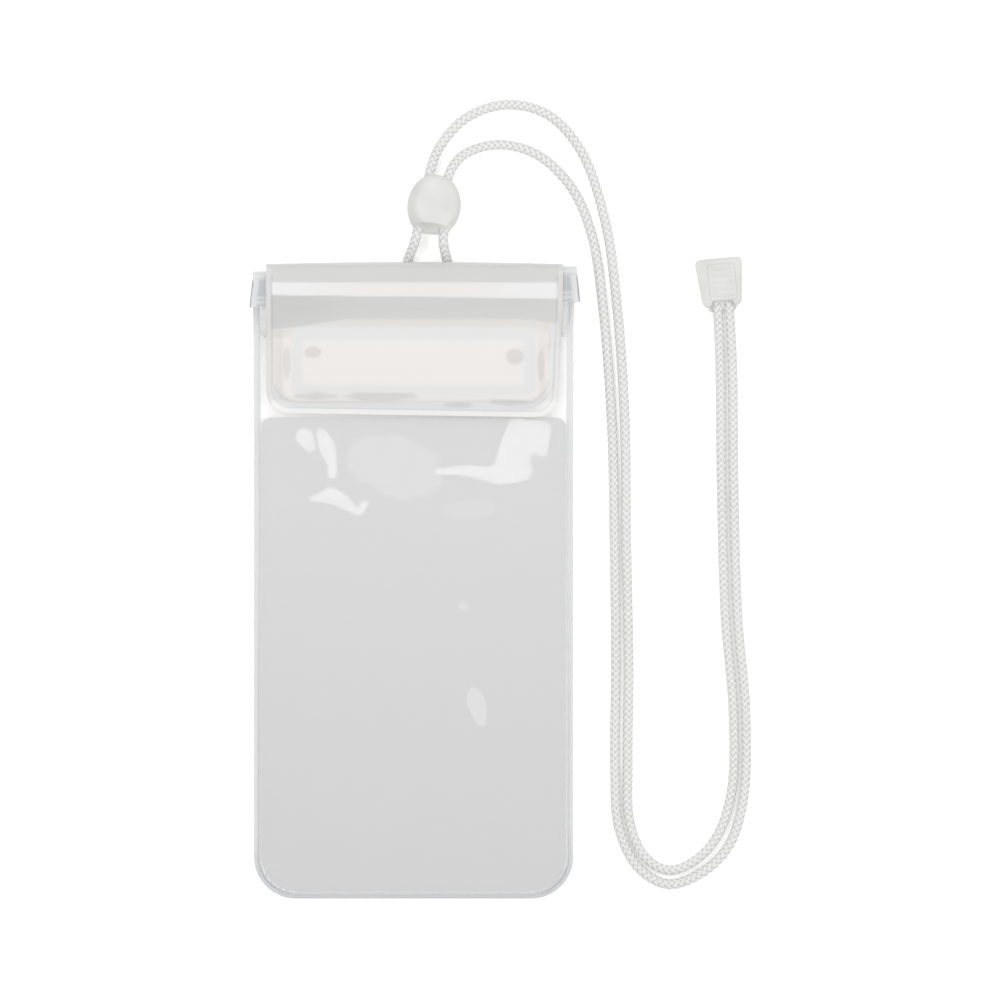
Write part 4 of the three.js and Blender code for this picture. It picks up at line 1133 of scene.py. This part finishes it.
def addBead(material):
    half, radius = bead["length"] / 2, bead["diameter"] / 2
    height = half * np.sin(np.linspace(-np.pi / 2, np.pi / 2, 49))
    flat = np.where(height < 0, bead["bottomFlat"], bead["topFlat"])
    semiAxis = half / np.sqrt(1 - (flat / bead["diameter"]) ** 2)
    radii = radius * np.sqrt(1 - (height / semiAxis) ** 2)
    piece = turned("slide_bead", radii, height, 96, material)
    points = pointsOf(piece)
    lower = np.clip(-points[:, 1] / half, 0, 1)
    points[:, 1] *= np.where(points[:, 1] < 0, bead["lowerScale"], bead["upperScale"])
    points[:, 1] += np.tan(np.radians(bead["slice"])) * points[:, 2] * lower ** 2
    over = points[:, 2] - bead["face"]
    points[:, 2] -= (1 - bead["faceDome"]) * (over + np.hypot(over, bead["faceEdge"])) / 2
    placePoints(piece, turnAbout(turnAbout(points, 0, -bead["tip"]), 1, bead["lean"]))
    lean = np.degrees(np.arctan((bead["spreadBottom"] - bead["spreadTop"]) / 2 / bead["length"]))
    for side in (-1, 1):
        reach = bead["length"]
        hole = turned("hole", np.full(2, bead["hole"] / 2), np.array([-reach, reach]), 48, material)
        points = turnAbout(pointsOf(hole), 2, side * lean)
        placePoints(hole, points + (side * (bead["spreadBottom"] + bead["spreadTop"]) / 4, 0, 0))
        combine(piece, hole, "DIFFERENCE")
    roundEdges(piece, bead["edge"])
    points = turnAbout(turnAbout(pointsOf(piece), 0, -bead["tilt"]), 2, -bead["roll"])
    placePoints(piece, points + bead["centre"])
    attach(piece, "root")
    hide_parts("slider_bead")
    return piece


beadPlastic = mouldedPlastic("ABS bead, moulded", plasticLook["bead"], plasticLook["beadShade"],
                             bead["paintedLightY"])
beadPiece = addBead(beadPlastic)
print("bead made")


# Clip: a tapered block in two halves, with a collar, a ribbed panel and two sockets

clip = {
    "topWidth": 16.4, "bottomWidth": 13.2, "height": 16.6, "corner": 2.2, "edge": 1.1, "thickness": 7,
    "centre": (105.5, 102.6, 0), "turn": 5.5, "collarWidth": 9.6, "collarHeight": 1.6,
    "panelWidth": 9.3, "panelHeight": 12.4, "panelRise": 0.5, "panelShift": 0.7, "ribs": 5, "ribPitch": 2.3,
    "flankEdge": -4.1, "flankSlope": 17, "mouthWidth": 8.2, "mouthDepth": 1.9, "mouthFloor": 1,
    "ribWidth": 6.9, "ribSize": 0.7, "ribRise": 0.2, "parting": 0.3, "spacing": 3.96,
    "socketDepth": 10, "grip": 0.25,
}


# Rounded outline of a four-sided shape, given by its half widths at the bottom and top: each
# corner is a curve between points a radius away from it, a blend of squares of the parameter
def roundedOutline(bottomHalf, topHalf, low, high, radius, steps=8):
    corners = np.array([(-bottomHalf, low), (bottomHalf, low), (topHalf, high), (-topHalf, high)])
    before, after = np.roll(corners, 1, axis=0), np.roll(corners, -1, axis=0)

    def toward(other):
        way = other - corners
        return corners + way / np.linalg.norm(way, axis=1, keepdims=True) * radius

    t = np.linspace(0, 1, steps + 1)[None, :, None]
    entry, leave = toward(before)[:, None], toward(after)[:, None]
    curve = (1 - t) ** 2 * entry + 2 * t * (1 - t) * corners[:, None] + t ** 2 * leave
    return curve.reshape(-1, 2)


# A block between two heights with one outline, whose upper edge (or both) is rolled over: each
# ring is the outline moved in along its own normals, a quarter circle inwards and upwards
def block(name, outline, low, high, lowEdge, highEdge, material):
    ahead = np.roll(outline, -1, axis=0) - np.roll(outline, 1, axis=0)
    inward = np.stack([-ahead[:, 1], ahead[:, 0]], -1)
    inward /= np.linalg.norm(inward, axis=1, keepdims=True)
    angle = np.linspace(0, np.pi / 2, 6)
    rings = []
    if lowEdge:
        rings += [(lowEdge * (1 - np.sin(a)), low + lowEdge * (1 - np.cos(a))) for a in angle]
    else:
        rings.append((0, low))
    if highEdge:
        rings += [(highEdge * (1 - np.cos(a)), high - highEdge * (1 - np.sin(a))) for a in angle]
    else:
        rings.append((0, high))
    points = np.concatenate([
        np.column_stack([outline + inward * offset, np.full(len(outline), z)]) for offset, z in rings
    ])
    sides = len(outline)
    faces = gridQuads(len(rings), sides, wrap=True).tolist()
    first = list(range(sides))
    faces += [first[::-1], [(len(rings) - 1) * sides + i for i in first]]
    return makePiece(name, points, faces, [material])


def flankCutter(material):     # a box whose lower side slopes down to the left of the panel
    corners = np.array([(-20.0, -20), (0, -20), (0, 20), (-20, 20)])
    cutter = block("cutter", corners, 0, 10, 0, 0, material)
    sloped = turnAbout(pointsOf(cutter), 1, -clip["flankSlope"])
    placePoints(cutter, sloped + (clip["flankEdge"], 0, clip["thickness"]))
    return cutter


def addClipHalf(name, node, isFront, material):
    halfHeight = clip["height"] / 2
    outline = roundedOutline(clip["bottomWidth"] / 2, clip["topWidth"] / 2, -halfHeight, halfHeight,
                             clip["corner"])
    middle = clip["thickness"] / 2
    seam = middle + (1 if isFront else -1) * clip["parting"] / 2
    collarHalf = clip["collarWidth"] / 2
    collarDepth = cord["diameter"] / 2 + 0.6
    collarLow = -halfHeight - clip["collarHeight"]
    collar = roundedOutline(collarHalf, collarHalf, collarLow, -halfHeight + 1.5, 0.9)
    if isFront:
        piece = block(name, outline, seam, clip["thickness"], 0.12, clip["edge"], material)
        combine(piece, flankCutter(material), "DIFFERENCE")
        panelHalf = clip["panelWidth"] / 2
        reach = clip["panelHeight"] / 2
        top = clip["thickness"] + clip["panelRise"]
        shape = roundedOutline(panelHalf, panelHalf, -reach, reach, 1)
        shape += (clip["panelShift"], 0)
        combine(piece, block("panel", shape, middle + collarDepth - 1, top, 0, 0.35, material), "UNION")
        for rib in range(clip["ribs"]):
            ribY = (rib - (clip["ribs"] - 1) / 2) * clip["ribPitch"]
            half = clip["ribSize"] / 2
            bar = roundedOutline(clip["ribWidth"] / 2, clip["ribWidth"] / 2, ribY - half, ribY + half, 0.3)
            bar += (clip["panelShift"], 0)
            combine(piece, block("rib", bar, top - 0.4, top + clip["ribRise"], 0, 0.2, material), "UNION")
    else:
        piece = block(name, outline, 0, seam, clip["edge"], 0.12, material)
        combine(piece, block("collar", collar, middle - collarDepth, seam, 0.7, 0, material), "UNION")
    if isFront:     # the cord's ends show where they enter
        half = clip["mouthWidth"] / 2
        gapOutline = roundedOutline(half, half, -halfHeight - 5, -halfHeight + clip["mouthDepth"], 1.5)
        floor = middle + clip["mouthFloor"]
        combine(piece, block("gap", gapOutline, floor, clip["thickness"] + 2, 0, 0, material), "DIFFERENCE")
        web = roundedOutline(1.4, 1.4, -halfHeight - 0.9, -halfHeight + clip["mouthDepth"], 0.3)
        combine(piece, block("web", web, seam, floor - 0.1, 0, 0.2, material), "UNION")
    for side in (-1, 1):
        depth = clip["socketDepth"]
        radii = np.full(2, cord["diameter"] / 2 - clip["grip"])     # the halves squeeze the braid
        socket = turned("socket", radii, np.array([collarLow - 2, collarLow + depth]), 32, material)
        placePoints(socket, pointsOf(socket) + (side * clip["spacing"] / 2, 0, middle))
        combine(piece, socket, "DIFFERENCE")
    shadeFlat(piece, 24)
    placePoints(piece, turnAbout(pointsOf(piece), 2, clip["turn"]) + clip["centre"])
    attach(piece, "root")
    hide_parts(node)
    return piece


clipPlastic = mouldedPlastic("ABS clip, moulded", plasticLook["clip"], plasticLook["clipShade"])
clipRear = addClipHalf("clip_rear_half", "clip_back", False, clipPlastic)
clipFace = addClipHalf("clip_front_half", "clip_front", True, clipPlastic)
print("clip made")


# Floor, world and lamps

studio = {"floor": "#ffffff", "floorGlow": 0.32, "floorSize": 6000, "floorDrop": 0.05, "world": 0.6}
lamps = [     # place, size and the light that each gives a level white surface, of 1 in all
    {"name": "left softbox", "at": (-300, 170, 1000), "size": (210, 210), "share": 0.14},
    {"name": "right softbox", "at": (720, 60, 1000), "size": (420, 420), "share": 0.12},
    {"name": "rear softbox", "at": (-60, 760, 900), "size": (500, 500), "share": 0.09},
    {"name": "front softbox", "at": (60, -760, 900), "size": (500, 500), "share": 0.05},
]


def addFloor():
    material, tree = newMaterial("white paper sweep")
    path = addNode(tree, "ShaderNodeLightPath")
    glow = addNode(tree, "ShaderNodeMath", operation="MULTIPLY", values={1: studio["floorGlow"]},
                   links={0: path.outputs["Is Camera Ray"]})
    shader = addNode(tree, "ShaderNodeBsdfPrincipled",
                     values={"Base Color": linearColour(studio["floor"]), "Roughness": 0.9,
                             "Specular IOR Level": 0, "Emission Color": (1, 1, 1, 1)},
                     links={"Emission Strength": glow.outputs[0]})
    finishMaterial(tree, shader)
    reach = studio["floorSize"] / 2
    points = np.array([(-1, -1, 0), (1, -1, 0), (1, 1, 0), (-1, 1, 0)]) * reach
    floor = makePiece("floor", points - (0, 0, studio["floorDrop"]), [[0, 1, 2, 3]], [material])


def addWorld():
    world = bpy.data.worlds.new("studio")
    world.use_nodes = True
    tree = world.node_tree
    tree.nodes.clear()
    path = addNode(tree, "ShaderNodeLightPath")
    seen = addNode(tree, "ShaderNodeMath", operation="MAXIMUM",
                   links={0: path.outputs["Is Camera Ray"], 1: path.outputs["Is Glossy Ray"]})
    seen = addNode(tree, "ShaderNodeMath", operation="MAXIMUM",
                   links={0: seen.outputs[0], 1: path.outputs["Is Transmission Ray"]})
    dim = addNode(tree, "ShaderNodeBackground", values={"Color": (1, 1, 1, 1), "Strength": studio["world"]})
    white = addNode(tree, "ShaderNodeBackground", values={"Color": (1, 1, 1, 1), "Strength": 1})
    mixed = addNode(tree, "ShaderNodeMixShader",
                    links={0: seen.outputs[0], 1: dim.outputs[0], 2: white.outputs[0]})
    addNode(tree, "ShaderNodeOutputWorld", links={"Surface": mixed.outputs[0]})
    scene.world = world


def addLamps():     # each faces the middle of the pouch, and a white surface sends back its share
    for lamp in lamps:
        data = bpy.data.lights.new(lamp["name"], "AREA")
        data.shape = "RECTANGLE"
        data.size, data.size_y = lamp["size"][0] * mm, lamp["size"][1] * mm
        place = np.array(lamp["at"]) * mm
        distance = np.linalg.norm(place)
        slant = place[2] / distance
        data.energy = lamp["share"] * np.pi ** 2 * distance ** 2 / slant
        light = bpy.data.objects.new(lamp["name"], data)
        light.location = place
        light.rotation_euler = mathutils.Vector(place).to_track_quat("Z", "Y").to_euler()
        scene.collection.objects.link(light)


addFloor()
addWorld()
addLamps()
print("studio lit")
